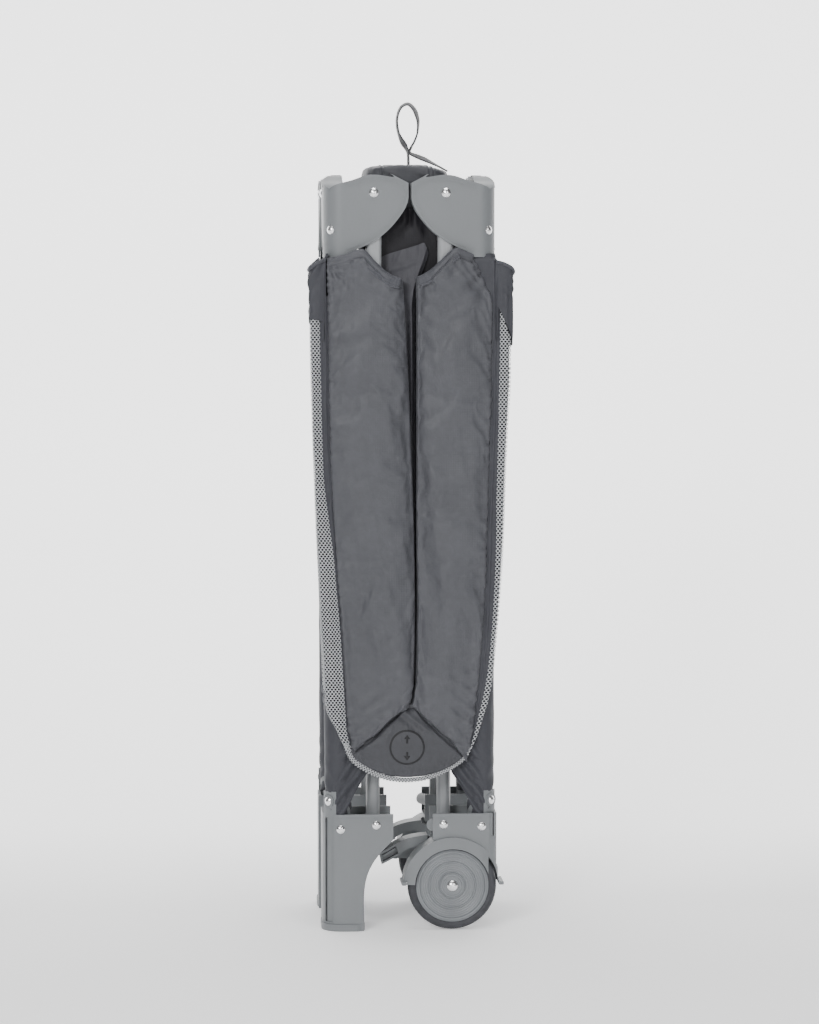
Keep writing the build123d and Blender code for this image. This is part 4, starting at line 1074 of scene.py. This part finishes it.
# ------------------------------------------------------------------ side walls, gathered at the posts
NET_OUT = {
    "l": [(167, 55), (178, 62.4), (188, 66.5), (198, 71.2), (208, 75.3), (218, 80.8), (228, 84.6), (248, 86.6), (288, 88.8), (307, 90.2), (377, 92.8), (417, 94.8), (457, 96.2), (507, 97.8), (560, 99.4), (597, 100.2), (636, 100.4), (690, 100.4)],
    "r": [(167, 51), (179, 58.8), (197, 67.0), (221, 74.2), (239, 79.0), (261, 83.2), (287, 86.0), (317, 88.2), (374, 92.4), (414, 94.4), (505, 97.0), (560, 99.6), (594, 101.2), (655, 101.3), (690, 101.3)],
}


def curve(pts, x):
    a = np.array(pts, float)
    return interp(x, a[:, 0], a[:, 1])


def spline_rows(ctrl, n):
    """ctrl (k, rows, 2) control points; Catmull-Rom along k, evenly spaced by length, n samples."""
    k, rows, _ = ctrl.shape
    ext = np.concatenate([2 * ctrl[:1] - ctrl[1:2], ctrl, 2 * ctrl[-1:] - ctrl[-2:-1]])
    out = []
    for i in range(k - 1):
        p0, p1, p2, p3 = ext[i], ext[i + 1], ext[i + 2], ext[i + 3]
        for t in np.linspace(0, 1, 12, endpoint=(i == k - 2)):
            out.append(
                0.5 * (2 * p1 + (p2 - p0) * t + (2 * p0 - 5 * p1 + 4 * p2 - p3) * t * t + (3 * p1 - p0 - 3 * p2 + p3) * t**3)
            )
    out = np.array(out)
    res = np.zeros((rows, n, 2))
    for r in range(rows):
        q = out[:, r]
        seg = np.r_[0, np.cumsum(np.linalg.norm(np.diff(q, axis=0), axis=1))]
        at = np.linspace(0, seg[-1], n)
        res[r, :, 0] = np.interp(at, seg, q[:, 0])
        res[r, :, 1] = np.interp(at, seg, q[:, 1])
    return res


def sheet_from(name, UV, Z, key, mat, uv_mm=None):
    """Grid sheet: UV (rows, cols, 2) are u and v, Z (rows, cols); placed at corner key."""
    sx, sy = CORNERS[key]
    rows, cols = Z.shape
    V = np.stack([UV[..., 0] * sx, UV[..., 1] * sy, Z], -1).reshape(-1, 3)
    if uv_mm is None:
        d = np.linalg.norm(np.diff(UV, axis=1), axis=2)
        along = np.concatenate([np.zeros((rows, 1)), np.cumsum(d, 1)], 1)
        uv_mm = np.stack([along, Z], -1).reshape(-1, 2)
    ob = new_object(name, V, grid_faces(rows, cols, flip=(sx * sy < 0)), mat, uv=uv_mm, uv_name="net")
    return ob


def net_edge(key, z):
    """Outer edge of the gathered net at a corner; the back left one is drawn in a little more."""
    if key == "rl":
        return curve(NET_OUT["l"], z) - 6.2 * step(196, 300, z)
    return curve(NET_OUT["l" if key == "fl" else "r"], z)


def net_start(key, z):
    """Inner edge of the net on the long side, next to the band along the panel's seam."""
    b = net_edge(key, z)
    if key in ("fl", "rl"):
        band = interp(z, [184, 380, 420, 480, 600, 640], [0.4, 1.0, 3.0, 6.6, 7.6, 7.8])
        most = interp(z, [178, 188, 198, 208, 218, 228, 248, 307], [4.5, 6.5, 8.5, 11.0, 16.0, 20.0, 26.0, 30.0])
    else:
        band = 0.4 + 7.0 * step(196, 285, z)
        most = interp(z, [184, 205, 231, 257, 317, 360, 443, 520], [2.4, 3.8, 5.2, 5.6, 5.4, 6.4, 9.0, 30.0])
    A = long_seam(key, np.clip(z, 182, 612)) + band
    return np.minimum(np.maximum(A, b - most), b - 2.2)


def long_seam(key, z):
    shape = LEFT if key in ("fl", "rl") else RIGHT
    return np.abs(curve(shape["outer"], z))


def side_name(key):
    """(long side, its half, short side, its half) of a corner."""
    sx, sy = CORNERS[key]
    return (
        "front" if sy < 0 else "back",
        "left" if sx < 0 else "right",
        "left" if sx < 0 else "right",
        "front" if sy < 0 else "back",
    )


def wall_fold(p, seed):
    return 0.8 * vnoise(p, (14, 14, 46), seed) + 0.4 * vnoise(p, (6, 6, 22), seed + 1)


def net_pieces(key):
    L = "l" if key in ("fl", "rl") else "r"
    sx, sy = CORNERS[key]
    lside, lhalf, sside, shalf = side_name(key)
    sh = LEFT if L == "l" else RIGHT
    # long side: seam band edge, out round the corner
    z = np.linspace(184, 640, 190)
    T = (z - z[0]) / (z[-1] - z[0])
    A, b = net_start(key, z), net_edge(key, z)
    w = b - A
    ctrl = np.array([
        np.c_[A, 89.2 + 0 * z],
        np.c_[A + 0.5 * w, 89.4 + 0.16 * w],
        np.c_[b - 0.1 * w, 89.0 + 0.10 * w],
        np.c_[b, 86.6 + 0 * z],
    ])
    uv = spline_rows(ctrl, 22)
    end = uv[150, :, 0]
    ztop = 617.5 + 0 * end if L == "l" else interp(end, [80, 86, 91, 96, 101], [640, 637, 622, 606, 594])
    Z = 184 + (ztop - 184)[None, :] * T[:, None]
    s = np.linspace(0, 1, 22)[None, :]
    P = np.stack([uv[..., 0], uv[..., 1], Z], -1)
    f = wall_fold(P, 31 + ord(key[0])) * np.sin(np.pi * s) ** 0.7
    uv[..., 1] += f * 1.1
    uv[..., 0] += f * 0.5
    ob = sheet_from(f"net_long_{key}", uv, Z, key, MAT["net"])
    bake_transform(ob)
    # dark backing sheet just behind it: painted shadow of the interior seen through the holes
    lin_uv = uv[:, ::2].copy()
    k = np.linspace(0, 1, lin_uv.shape[1])[None, :]
    lin_uv[..., 0] -= 0.6 + 1.0 * k
    lin_uv[..., 1] -= 1.9 - 0.4 * k
    lining = sheet_from(f"net_lining_{key}", lin_uv, Z[:, ::2], key, MAT["lining"])
    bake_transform(lining)
    # short side: from the corner back to the short panel's seam
    z = np.linspace(500, 611 if L == "l" else 594, 64)
    b = net_edge(key, z)
    ctrl = np.array([
        np.c_[b, 86.6 + 0 * z],
        np.c_[b - 1.2, 85.6 + 0 * z],
        np.c_[b - 5, 85.0 + 0 * z],
        np.c_[89.4 + 0 * z, 84.6 + 0 * z],
    ])
    uv = spline_rows(ctrl, 10)
    Z = np.repeat(z[:, None], 10, 1)
    ob = sheet_from(f"net_short_{key}", uv, Z, key, MAT["net"])
    # dark backing sheet behind the short net: painted shadow
    lin_uv = uv.copy()
    lin_uv[..., 0] -= 2.6
    lin_uv[..., 1] -= 1.2
    lining = sheet_from(f"net_lining_short_{key}", lin_uv, Z, key, MAT["lining"])
    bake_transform(lining)
    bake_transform(ob)
    # curtain under the short side's boot
    rows, cols = 120, 72
    v = 86.6 - (86.6 - 1.2) * np.linspace(0, 1, cols) ** 0.92
    bb = np.array(BOOT_BOTTOM)
    # the side boot is the front one turned: x at the front is -y on the left and right
    zt = np.where(v > 68, 500 + 0 * v, interp(np.clip(-v if shalf == "back" else v, -61, 57), bb[:, 0], bb[:, 1]) + 301.5)
    zt = np.minimum(zt, 452 + 50 * step(56, 76, v) + 3)
    zb = 212 + 22 * (v / 86.6) ** 2 - 8 * np.cos(v / 86.6 * math.pi)
    T = np.linspace(0, 1, rows)[:, None]
    Z = zb[None, :] + (zt - zb)[None, :] * T
    V_ = np.repeat(v[None, :], rows, 0)
    B = net_edge(key, Z)
    near = step(66, 86.6, V_)
    inner = interp(Z, [200, 242, 293, 374, 452, 505], [80.6, 81.6, 83.6, 86.6, 88.2, 88.6])
    U = inner + (B - inner) * near
    P = np.stack([U, V_, Z], -1)
    folds = np.sin(V_ * 2 * math.pi / 15.5 + 2.2 * vnoise(P, (40, 30, 150), 41 + ord(key[1]))) * (1 - near) * step(0.0, 6, V_)
    U = U + folds * (1.6 + 0.8 * vnoise(P, (60, 40, 60), 43)) * (0.45 + 0.55 * step(455, 380, Z))
    uv = np.stack([U, V_], -1)
    ob = sheet_from(f"curtain_{key}", uv, Z, key, MAT["net"])
    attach(ob, f"corner_{key}")
    # dark backing sheet behind the curtain: painted shadow
    lining = sheet_from(f"curtain_lining_{key}", np.stack([U - 2.6, V_], -1)[:, ::2], Z[:, ::2], key, MAT["lining"])
    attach(lining, f"corner_{key}")
    # bound hem of the curtain
    path = np.stack([U[0] * sx, V_[0] * sy, Z[0]], -1)
    hem = strip(f"curtain_hem_{key}", path, np.array([0, 0, 1.0]), 7.0, 1.5, MAT["binding"], normal=(sx, 0, 0))
    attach(hem, f"corner_{key}")


def seam_band(key):
    """Dark cloth between the padded panel's seam and the net: two long soft folds."""
    L = "l" if key in ("fl", "rl") else "r"
    lside, lhalf, _, _ = side_name(key)
    z = np.linspace(190 if L == "l" else 186, 640 if L == "l" else 612, 190)
    A = long_seam(key, np.clip(z, 182, 616)) - 0.6
    cols = 30
    s = np.linspace(0, 1, cols)[None, :]
    if L == "l":
        w = interp(z, [196, 380, 420, 480, 640], [3.5, 4.0, 6.0, 9.4, 10.2])
    else:
        w = 8.8 * step(190, 262, z) + 1.2
    w = np.clip(np.maximum(w, net_start(key, z) + 1.6 - A), 1.2, net_edge(key, z) - 1.0 - A)[:, None]
    Z = np.repeat(z[:, None], cols, 1)
    U = A[:, None] + w * s
    ridge = 1.5 * np.exp(-(((s - 0.34 - 0.05 * np.sin(z / 37)[:, None]) / 0.17) ** 2))
    ridge += 1.2 * np.exp(-(((s - 0.76 + 0.04 * np.sin(z / 29)[:, None]) / 0.16) ** 2))
    P = np.stack([U, 0 * U, Z], -1)
    Vv = 87.9 + ridge * (0.9 + 0.35 * vnoise(P, (30, 30, 28), 51)) * w / 10 + 0.3 * vnoise(P, (3, 9, 9), 52)
    ob = sheet_from(f"seam_band_{key}", np.stack([U, Vv], -1), Z, key, MAT["wall"])
    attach(ob, f"rail_{lside}_{lhalf}")


def shoulder(key):
    """Top of the wall, where the cloth is gathered under the corner housing."""
    L = "l" if key in ("fl", "rl") else "r"
    sx, sy = CORNERS[key]
    cols, rows = 66, 60
    s = np.linspace(0, 1, cols)
    if L == "l":
        top = interp(s, [0, 0.18, 0.45, 0.62, 1], [678.6, 676.5, 670, 667, 667])
        low = interp(s, [0, 0.4, 0.7, 1], [614, 617, 612, 606])
        A0 = 84.2
    else:
        top = interp(s, [0, 0.2, 0.4, 0.55, 0.7, 1], [676, 674.5, 671.5, 667, 664, 664])
        low = interp(s, [0, 0.2, 0.4, 0.55, 1], [634, 621, 604, 592, 588])
        A0 = 85.4
    T = np.linspace(0, 1, rows)[:, None]
    Z = low[None, :] + (top - low)[None, :] * T
    ctrl = []
    z = np.linspace(590, 680, rows)
    bo = {"fl": 100.2, "rl": 94.6}.get(key, 101.7)
    w = bo - A0
    for u, v in ((A0, 88.9), (A0 + 0.45 * w, 91.6), (A0 + 0.8 * w, 91.6), (bo + 0.2, 89.8), (bo + 0.5, 86.2), (bo - 0.6, 83.6), (bo - 3.5, 82.8), (89.0, 82.6)):
        ctrl.append(np.c_[u + 0 * z, v + 0 * z])
    uv = spline_rows(np.array(ctrl), cols)
    P = np.stack([uv[..., 0], uv[..., 1], Z], -1)
    cx, cy = 90.0, 86.0
    nu, nv = P[..., 0] - cx, P[..., 1] - cy
    nl = np.hypot(nu, nv) + 1e-6
    nu, nv = nu / nl, nv / nl
    edge = np.sin(np.pi * np.clip(s, 0, 1))[None, :] ** 0.5
    down = np.clip((top[None, :] - Z) / (top - low)[None, :], 0, 1)
    if L == "l":
        du, dz = P[..., 0] - 83.0, 684.0 - Z
        a = np.arctan2(du, dz)
        pleat = 1.5 * np.sin(a * 15 + 2.0 * vnoise(P, (30, 30, 40), 63)) * np.exp(-dz / 34) * step(5, 12, np.hypot(du, dz))
        pleat += 0.7 * np.exp(-(((du - 2.2 - 0.03 * dz) / 0.9) ** 2)) * step(80, 20, dz)
        pleat += 0.6 * np.sin((Z + 0.8 * du) * 2 * math.pi / 17 + 2 * vnoise(P, (20, 20, 20), 64)) * step(0.2, 0.5, s)[None, :]
    else:
        pleat = 0
        for zc, a in ((662, 0.7), (654.5, 0.75), (647, 0.9)):
            pleat = pleat + a * np.exp(-(((Z - zc - 4 * (s[None, :] - 0.4)) / 1.7) ** 2)) * step(0.12, 0.3, s)[None, :]
        pleat = pleat - 0.8 * np.exp(-(((Z - 642) / 1.6) ** 2)) * step(0.12, 0.3, s)[None, :]
        pleat = pleat + 0.9 * np.sin((s[None, :] * 5 + 0.8) * 2 * math.pi) * step(0.15, 0.6, down) * (1 - 0.5 * down)
    h = (pleat + 0.7 * wall_fold(P, 61)) * edge * step(0, 7, Z - low[None, :]) + 0.3
    # the top rolls in over the post
    roll = np.clip((top[None, :] - Z) / 6.5, 0, 1)
    bulge = np.sqrt(np.clip(1 - (1 - roll) ** 2, 0, 1))
    uv[..., 0] = P[..., 0] + nu * h * bulge
    uv[..., 1] = P[..., 1] + nv * h * bulge
    uv[..., 0] = cx + (uv[..., 0] - cx) * (0.80 + 0.20 * bulge)
    uv[..., 1] = cy + (uv[..., 1] - cy) * (0.80 + 0.20 * bulge)
    # rows that close it towards the post
    ring_u, ring_v = uv[-1, :, 0], uv[-1, :, 1]
    tgt = np.stack([np.clip(ring_u, 74, 84), np.clip(ring_v, 74, 84)], -1)
    extra_uv, extra_z = [], []
    for k, dz in ((0.3, 0.2), (0.65, -0.5), (1.0, -2.0)):
        extra_uv.append(uv[-1] + (tgt - uv[-1]) * k)
        extra_z.append(top + dz)
    uv = np.concatenate([uv, np.array(extra_uv)])
    Z = np.concatenate([Z, np.array(extra_z)])
    ob = sheet_from(f"shoulder_{key}", uv, Z, key, MAT["wall"])
    subdivide(ob, 1)
    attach(ob, f"corner_{key}")
    # piped rim along its upper edge
    r = rows - 4
    path = np.stack([uv[r, :, 0] * sx, uv[r, :, 1] * sy, Z[r] + 1.0], -1)
    path = path[(s > 0.02) & (s < 0.72)]
    c = np.array([cx * sx, cy * sy, 0])
    out = path - c
    out[:, 2] = 0
    out /= np.linalg.norm(out, axis=1, keepdims=True)
    path = path + out * 0.9
    rim = strip(f"shoulder_rim_{key}", path, out * 0.25 + np.array([0, 0, 1.0]), 3.4, 2.0, MAT["binding"], normal=None)
    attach(rim, f"corner_{key}")


def bib(key, side=False):
    """Smooth cloth between the right panel's slanted edge and the shoulder; side=True turns it round."""
    z = np.linspace(596, 682.5, 60)
    outer = curve(RIGHT["outer"], z)
    u0 = outer - 2.2
    u1 = interp(z, [596, 612, 633, 645, 664, 674, 683], [91.5, 91.0, 90.4, 90.0, 88.6, 86.6, 85.4])
    cols = 40
    s = np.linspace(0, 1, cols)[None, :]
    U = u0[:, None] + (u1 - u0)[:, None] * s
    Z = np.repeat(z[:, None], cols, 1)
    P = np.stack([U, 0 * U, Z], -1)
    Vv = 87.6 + 0.9 * np.sin(np.pi * s) + 0.8 * vnoise(P, (9, 9, 45), 71) * np.sin(np.pi * s) ** 0.5
    Vv += 1.0 * np.exp(-(((U - 83.6) / 1.3) ** 2)) * step(600, 625, Z)
    Vv -= 4.6 * step(673.5, 681, Z) + 1.6 * step(0.9, 1.0, s)
    pair = [Vv, U] if side else [U, Vv]
    ob = sheet_from(f"bib_{'side_' if side else ''}{key}", np.stack(pair, -1), Z, key, MAT["wall"])
    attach(ob, f"corner_{key}")


def sleeve(key):
    """Cloth sleeve round the corner post, from the foot to the housing."""
    sx, sy = CORNERS[key]
    rows, cols = 220, 56
    z = np.linspace(118.4, 676, rows)
    th = np.linspace(0, 2 * math.pi, cols + 1)
    Z, TH = np.meshgrid(z, th, indexing="ij")
    r0 = interp(z, [118, 126, 138, 155, 210, 560, 620, 676], [12.9, 13.1, 13.4, 13.9, 13.9, 12.8, 13.0, 12.6])[:, None]
    P = np.stack([72 + 12 * np.cos(TH), 72 + 12 * np.sin(TH), Z], -1)
    h = 0.45 * vnoise(P, (10, 10, 60), 81) + 0.25 * vnoise(P, (5, 5, 16), 82)
    low = step(190, 130, Z)
    h += 0.75 * low * np.sin((Z * 0.75 + TH * 7.0) * 2 * math.pi / 14 + 1.5 * vnoise(P, (20, 20, 20), 83))
    h += 0.5 * np.exp(-(((Z - 122.5) / 1.4) ** 2)) + 0.35 * np.exp(-(((Z - 128) / 1.3) ** 2))
    R = r0 + h
    uv = np.stack([72 + R * np.cos(TH), 72 + R * np.sin(TH)], -1)
    ob = sheet_from(f"post_sleeve_{key}", uv, Z, key, MAT["wall"])
    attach(ob, f"corner_{key}")


def gusset(key):
    """Lower corner of the wall, drawn down to the foot."""
    rows, cols = 70, 50
    t = np.linspace(0, 1, rows)
    e_u = interp(t, [0, 0.12, 0.28, 0.42, 0.55, 0.72, 1], [66.5, 62.5, 55.5, 48.5, 42, 38.5, 37])
    e_z = interp(t, [0, 0.12, 0.28, 0.42, 0.55, 0.72, 1], [118.2, 126, 139.5, 151, 161.5, 178, 208])
    o_z = interp(t, [0, 1], [118.2, 208])
    s = np.linspace(0, 1, cols)[None, :]
    U = 78.0 + (e_u[:, None] - 78.0) * s
    Z = o_z[:, None] + (e_z - o_z)[:, None] * s ** 1.3
    Vv = np.where(U > 72, 72 + np.sqrt(np.clip(14.0**2 - (U - 72) ** 2, 4, None)), 86.0 - 10.2 * step(0, 36, 72 - U))
    P = np.stack([U, Vv, Z], -1)
    d = (72 - U) * 0.62 - (Z - 118) * 0.5
    h = 1.9 * np.sin(d * 2 * math.pi / 10.5 + 1.6 * vnoise(P, (24, 24, 24), 91)) * step(0.06, 0.35, s) * step(1.02, 0.9, s)
    h += 0.8 * vnoise(P, (9, 9, 20), 92) * step(0.0, 0.2, s)
    h += 0.8 * np.exp(-(((s - 0.985) / 0.02) ** 2))
    ob = sheet_from(f"gusset_{key}", np.stack([U, Vv + h], -1), Z, key, MAT["wall"])
    subdivide(ob, 1)
    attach(ob, f"corner_{key}")


for key in CORNERS:
    net_pieces(key)
    seam_band(key)
    shoulder(key)
    if key in ("fr", "rr"):
        bib(key)
    if key in ("fl", "fr"):
        bib(key, side=True)
    sleeve(key)
    gusset(key)
    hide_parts(f"wall_{key}")


# ------------------------------------------------------------------ folded floor cloth between the rails
def hub_piece(ob):
    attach(ob, "hub")
    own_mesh(ob)


def floor_cloth():
    # the fold that stands up like a tent in the opening
    cols, rows = 84, 230
    x = np.linspace(-28.5, 28.5, cols)
    ztop = interp(x, [-28.5, -21, 0, 14, 19.7, 23.5, 28.5], [678.5, 681.6, 687.4, 691.4, 693.4, 689.5, 683])
    T = np.linspace(0, 1, rows)[:, None]
    Z = 246 + (ztop[None, :] - 246) * T
    xr = interp(Z, [246, 480, 600, 630, 645, 660, 675, 694], [2.5, 3.2, 3.0, 2.6, 4.2, 8.6, 14.0, 19.7])
    X = -28.5 + (np.minimum(xr + 3.4, 28.5) + 28.5) * np.linspace(0, 1, cols)[None, :]
    P = np.stack([X, 0 * X, Z], -1)
    xr = interp(Z, [246, 480, 600, 630, 645, 660, 675, 694], [2.5, 3.2, 3.0, 2.6, 4.2, 8.6, 14.0, 19.7])
    hr = interp(Z, [246, 480, 630, 650, 672, 694], [3.0, 9.5, 10.5, 9.6, 7.6, 4.2])
    left = np.clip((X + 28.5) / (xr + 28.5), 0, 1) ** 1.25
    right = np.exp(-np.clip(X - xr, 0, 60) / 3.4)
    H = hr * np.where(X < xr, left, right)
    H += 0.9 * np.exp(-(((Z - 672 - 0.30 * X + 1.5 * vnoise(P, (12, 12, 12), 101)) / 2.2) ** 2)) * step(-30, -18, X) * step(14, 4, X)
    H += 0.8 * np.exp(-(((X + 9 - (Z - 690) * 0.42) / 2.0) ** 2)) * step(610, 650, Z)
    H += 0.55 * vnoise(P, (7, 7, 30), 102) + 0.35 * vnoise(P, (3.5, 3.5, 16), 103)
    H += 0.9 * np.sin(X * 2 * math.pi / 7.3 + 1.7 * vnoise(P, (9, 9, 60), 104)) * step(640, 590, Z)
    V = np.stack([X, -(63.9 + H), Z], -1).reshape(-1, 3)
    tent = new_object("floor_cloth_front", V, grid_faces(rows, cols), MAT["tent"])
    # the layers behind it, up to the hub, in a far darker copy of the floor cloth: painted shadow deep in the opening
    rows = 90
    Z = np.linspace(520, 728, rows)[:, None] + 0 * x[None, :]
    X = np.repeat(x[None, :], rows, 0)
    P = np.stack([X, 0 * X, Z], -1)
    up = step(690, 712, Z)
    fan = np.arctan2(X - 4, 742 - Z)
    H = 1.0 + up * (1.5 * np.sin(fan * 11 + 1.4 * vnoise(P, (12, 12, 12), 111)) + 0.9 * vnoise(P, (5, 5, 14), 112))
    H = np.where(Z < 694, np.minimum(H, 1.1), H) * 0.9
    V = np.stack([X, -(62.2 + H), Z], -1).reshape(-1, 3)
    layer = new_object("floor_cloth_layer_front", V, grid_faces(rows, cols), MAT["floor"])
    for base, w, l in ((tent, 62, 450), (layer, 60, 210)):
        pieces = [base, mirrored(base, base.name.replace("front", "back"), flip_y=True)]
        pieces.append(turned(base, base.name.replace("front", "left")))
        pieces.append(mirrored(pieces[2], base.name.replace("front", "right"), flip_x=True))
        for ob in pieces:
            hub_piece(ob)


# ------------------------------------------------------------------ soft cover over the floor hub
def hub_pouch():
    rings, cols = 60, 160
    th = np.linspace(0, 2 * math.pi, cols, endpoint=False)
    n = 4.6
    c, s_ = np.cos(th), np.sin(th)
    ex = np.sign(c) * np.abs(c) ** (2 / n)
    ey = np.sign(s_) * np.abs(s_) ** (2 / n)
    t = np.linspace(0, 1, rings)
    # side profile: straight wall, tight top edge, gently crowned lid
    prof_s = interp(t, [0, 0.05, 0.12, 0.42, 0.55, 0.66, 0.74, 0.86, 1.0], [0.90, 0.985, 1.0, 1.0, 0.99, 0.962, 0.88, 0.5, 0.0])
    prof_z = interp(t, [0, 0.05, 0.12, 0.42, 0.55, 0.66, 0.74, 0.86, 1.0], [725.2, 726, 729, 759, 765.4, 769.2, 771.0, 772.0, 772.4])
    X = -0.6 + 42.6 * ex[None, :] * prof_s[:, None]
    Y = 58.6 * ey[None, :] * prof_s[:, None]
    Z = prof_z[:, None] + 0 * X
    # the right end slopes down and hangs squarer than the left
    Z = Z - np.where(Z > 745, (Z - 745) / 26, 0) * (5.2 * step(12, 42, X) + 1.6 * step(-10, -42, X))
    P = np.stack([X, Y, Z], -1).reshape(-1, 3)
    faces = grid_faces(rings, cols, wrap=True)
    faces.append(tuple(range(cols))[::-1])
    ob = new_object("hub_pouch", P, faces, MAT["boot"])
    bm = bmesh.new()
    bm.from_mesh(ob.data)
    bmesh.ops.remove_doubles(bm, verts=bm.verts, dist=1e-5)
    bm.to_mesh(ob.data)
    bm.free()
    outward(ob)
    subdivide(ob, 1)
    co, no = co_of(ob), normals_of(ob)
    up = step(727, 735, co[:, 2])
    h = 0.55 * vnoise(co, (13, 13, 17), 121) + 0.3 * vnoise(co, (6, 6, 8), 122)
    # welts sewn across near both ends, and the wrap's folded edge
    for x0, w in ((-27.5, 1.1), (19.5, 1.0), (24.0, 1.0)):
        d = co[:, 0] - x0 - 0.6 * vnoise(co, (30, 30, 30), 123)
        h += 0.75 * np.exp(-((d / w) ** 2)) - 0.9 * np.exp(-(((d - 2.0) / 0.8) ** 2))
    wall = step(0.55, 0.9, np.abs(no[:, 1])) * step(772, 758, co[:, 2])
    h += 0.9 * wall * np.sin((co[:, 0] * 0.55 + co[:, 2]) * 2 * math.pi / 16 + 1.5 * vnoise(co, (20, 20, 20), 124))
    set_co(ob, co + no * (h * up)[:, None])
    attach(ob, "hub")
    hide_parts("hub_cover")


def pull_webbing():
    pts = np.array([
        (3.5, 766), (3.6, 776), (3.3, 784), (1.2, 790), (-3.2, 797.5), (-7.0, 807), (-8.2, 817), (-6.4, 826.5), (-2.2, 832.6),
        (2.6, 834.4), (7.6, 831.4), (11.6, 824.6), (13.6, 815.5), (12.9, 806), (10.2, 797.5), (6.6, 790.6), (4.9, 786.4),
        (6.4, 784.2), (12, 781.8), (20, 778.6), (30, 773.8), (38, 769.6), (43.5, 766.6),
    ])
    d = np.r_[0, np.cumsum(np.linalg.norm(np.diff(pts, axis=0), axis=1))]
    at = np.linspace(0, d[-1], 260)
    fine = np.c_[interp(at, d, pts[:, 0]), 0 * at, interp(at, d, pts[:, 1])]
    k = at / d[-1]
    # it lies on edge to the front, with a lazy twist at the top right and along the tail
    tilt = 0.07 + 0.30 * np.exp(-(((k - 0.50) / 0.09) ** 2)) + 0.26 * np.exp(-(((k - 0.17) / 0.04) ** 2)) + 0.30 * np.exp(-(((k - 0.83) / 0.09) ** 2))
    tang = np.gradient(fine, axis=0)
    tang /= np.linalg.norm(tang, axis=1, keepdims=True)
    nor = np.cross(tang, np.array([0, 1.0, 0]))
    across = np.array([0, 1.0, 0])[None, :] * np.cos(tilt)[:, None] + nor * np.sin(tilt)[:, None]
    fine[:, 1] += 3.2 * step(0.66, 0.74, k) - 1.6
    ob = strip("pull_webbing", fine, across, 13.0, 1.8, MAT["webbing"], normal=None)
    co = co_of(ob)
    co += normals_of(ob) * (0.12 * vnoise(co, (3, 3, 3), 131))[:, None]
    set_co(ob, co)
    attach(ob, "hub")
    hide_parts("pull_strap")


floor_cloth()
hub_pouch()
pull_webbing()
# ------------------------------------------------------------------ stage, lights, camera


def make_stage():
    bm = bmesh.new()
    w, front, back, up, rad = 3.6, -2.4, 1.3, 3.0, 0.8
    prof = [(front, 0.0), (back - rad, 0.0)]
    for i in range(1, 13):
        a = math.pi / 2 * i / 12
        prof.append((back - rad + rad * math.sin(a), rad - rad * math.cos(a)))
    prof.append((back, up))
    rows = []
    for y, z in prof:
        rows.append([bm.verts.new((x, y, z)) for x in (-w, w)])
    for a, b in zip(rows, rows[1:]):
        bm.faces.new((a[0], a[1], b[1], b[0]))
    me = bpy.data.meshes.new("sweep_floor")
    bm.to_mesh(me)
    bm.free()
    ob = bpy.data.objects.new("sweep_floor", me)
    bpy.context.scene.collection.objects.link(ob)
    for p in me.polygons:
        p.use_smooth = True
    m = Mat("studio_paper", (0.83, 0.83, 0.83), 0.75)
    v = m.coords()
    m.base(m.ramp(m.noise(v, 3.0, 2), [(0.3, (0.86, 0.86, 0.865)), (0.7, (0.88, 0.88, 0.88))]))
    m.p.inputs["Emission Color"].default_value = (1, 1, 1, 1)
    # the backdrop glows, the floor round the object hardly at all
    tc = m.n("TexCoord")
    sep = m.n("SeparateXYZ")
    m.link(tc.outputs["Object"], sep.inputs[0])
    far = m.grey(sep.outputs[1], 0.32, 1.9, 0.05, 1.2)
    m.link(far, m.p.inputs["Emission Strength"])
    me.materials.append(m.m)
    return ob


make_stage()

world = bpy.data.worlds.new("studio")
bpy.context.scene.world = world
world.use_nodes = True
bg = world.node_tree.nodes["Background"]
bg.inputs["Color"].default_value = (1.0, 1.0, 1.0, 1)
bg.inputs["Strength"].default_value = 0.10


def area_light(name, loc, target, size, power, size_y=None):
    d = bpy.data.lights.new(name, "AREA")
    d.energy = power
    d.shape = "RECTANGLE"
    d.size = size
    d.size_y = size_y or size
    ob = bpy.data.objects.new(name, d)
    ob.location = loc
    ob.rotation_euler = (Vector(target) - Vector(loc)).to_track_quat("-Z", "Y").to_euler()
    bpy.context.scene.collection.objects.link(ob)
    return ob


area_light("key_left", (-1.25, -2.75, 1.7), (0, 0, 0.42), 0.8, 62, 1.0)
area_light("fill_right", (1.3, -2.6, 1.1), (0, 0, 0.4), 0.8, 18, 1.4)
area_light("front_low", (0.1, -3.2, 0.5), (0, 0, 0.4), 0.9, 10, 0.8)
area_light("top", (0.0, -0.4, 2.6), (0, 0, 0.4), 1.3, 30, 1.1)

cam_d = bpy.data.cameras.new("camera")
cam_d.sensor_fit = "VERTICAL"
cam_d.sensor_height = 36.0
cam_d.sensor_width = 36.0 * 819 / 1024
CAM_DIST = 3.3
cam_d.lens = 36.0 * CAM_DIST / 1.0195
cam = bpy.data.objects.new("camera", cam_d)
ang = math.radians(3.6)
cam.location = (-CAM_DIST * math.sin(ang), -0.097 - CAM_DIST * math.cos(ang), 0.676)
aim = Vector((-0.0012, -0.097, 0.4252))
cam.rotation_euler = (aim - Vector(cam.location)).to_track_quat("-Z", "Y").to_euler()
bpy.context.scene.collection.objects.link(cam)
bpy.context.scene.camera = cam
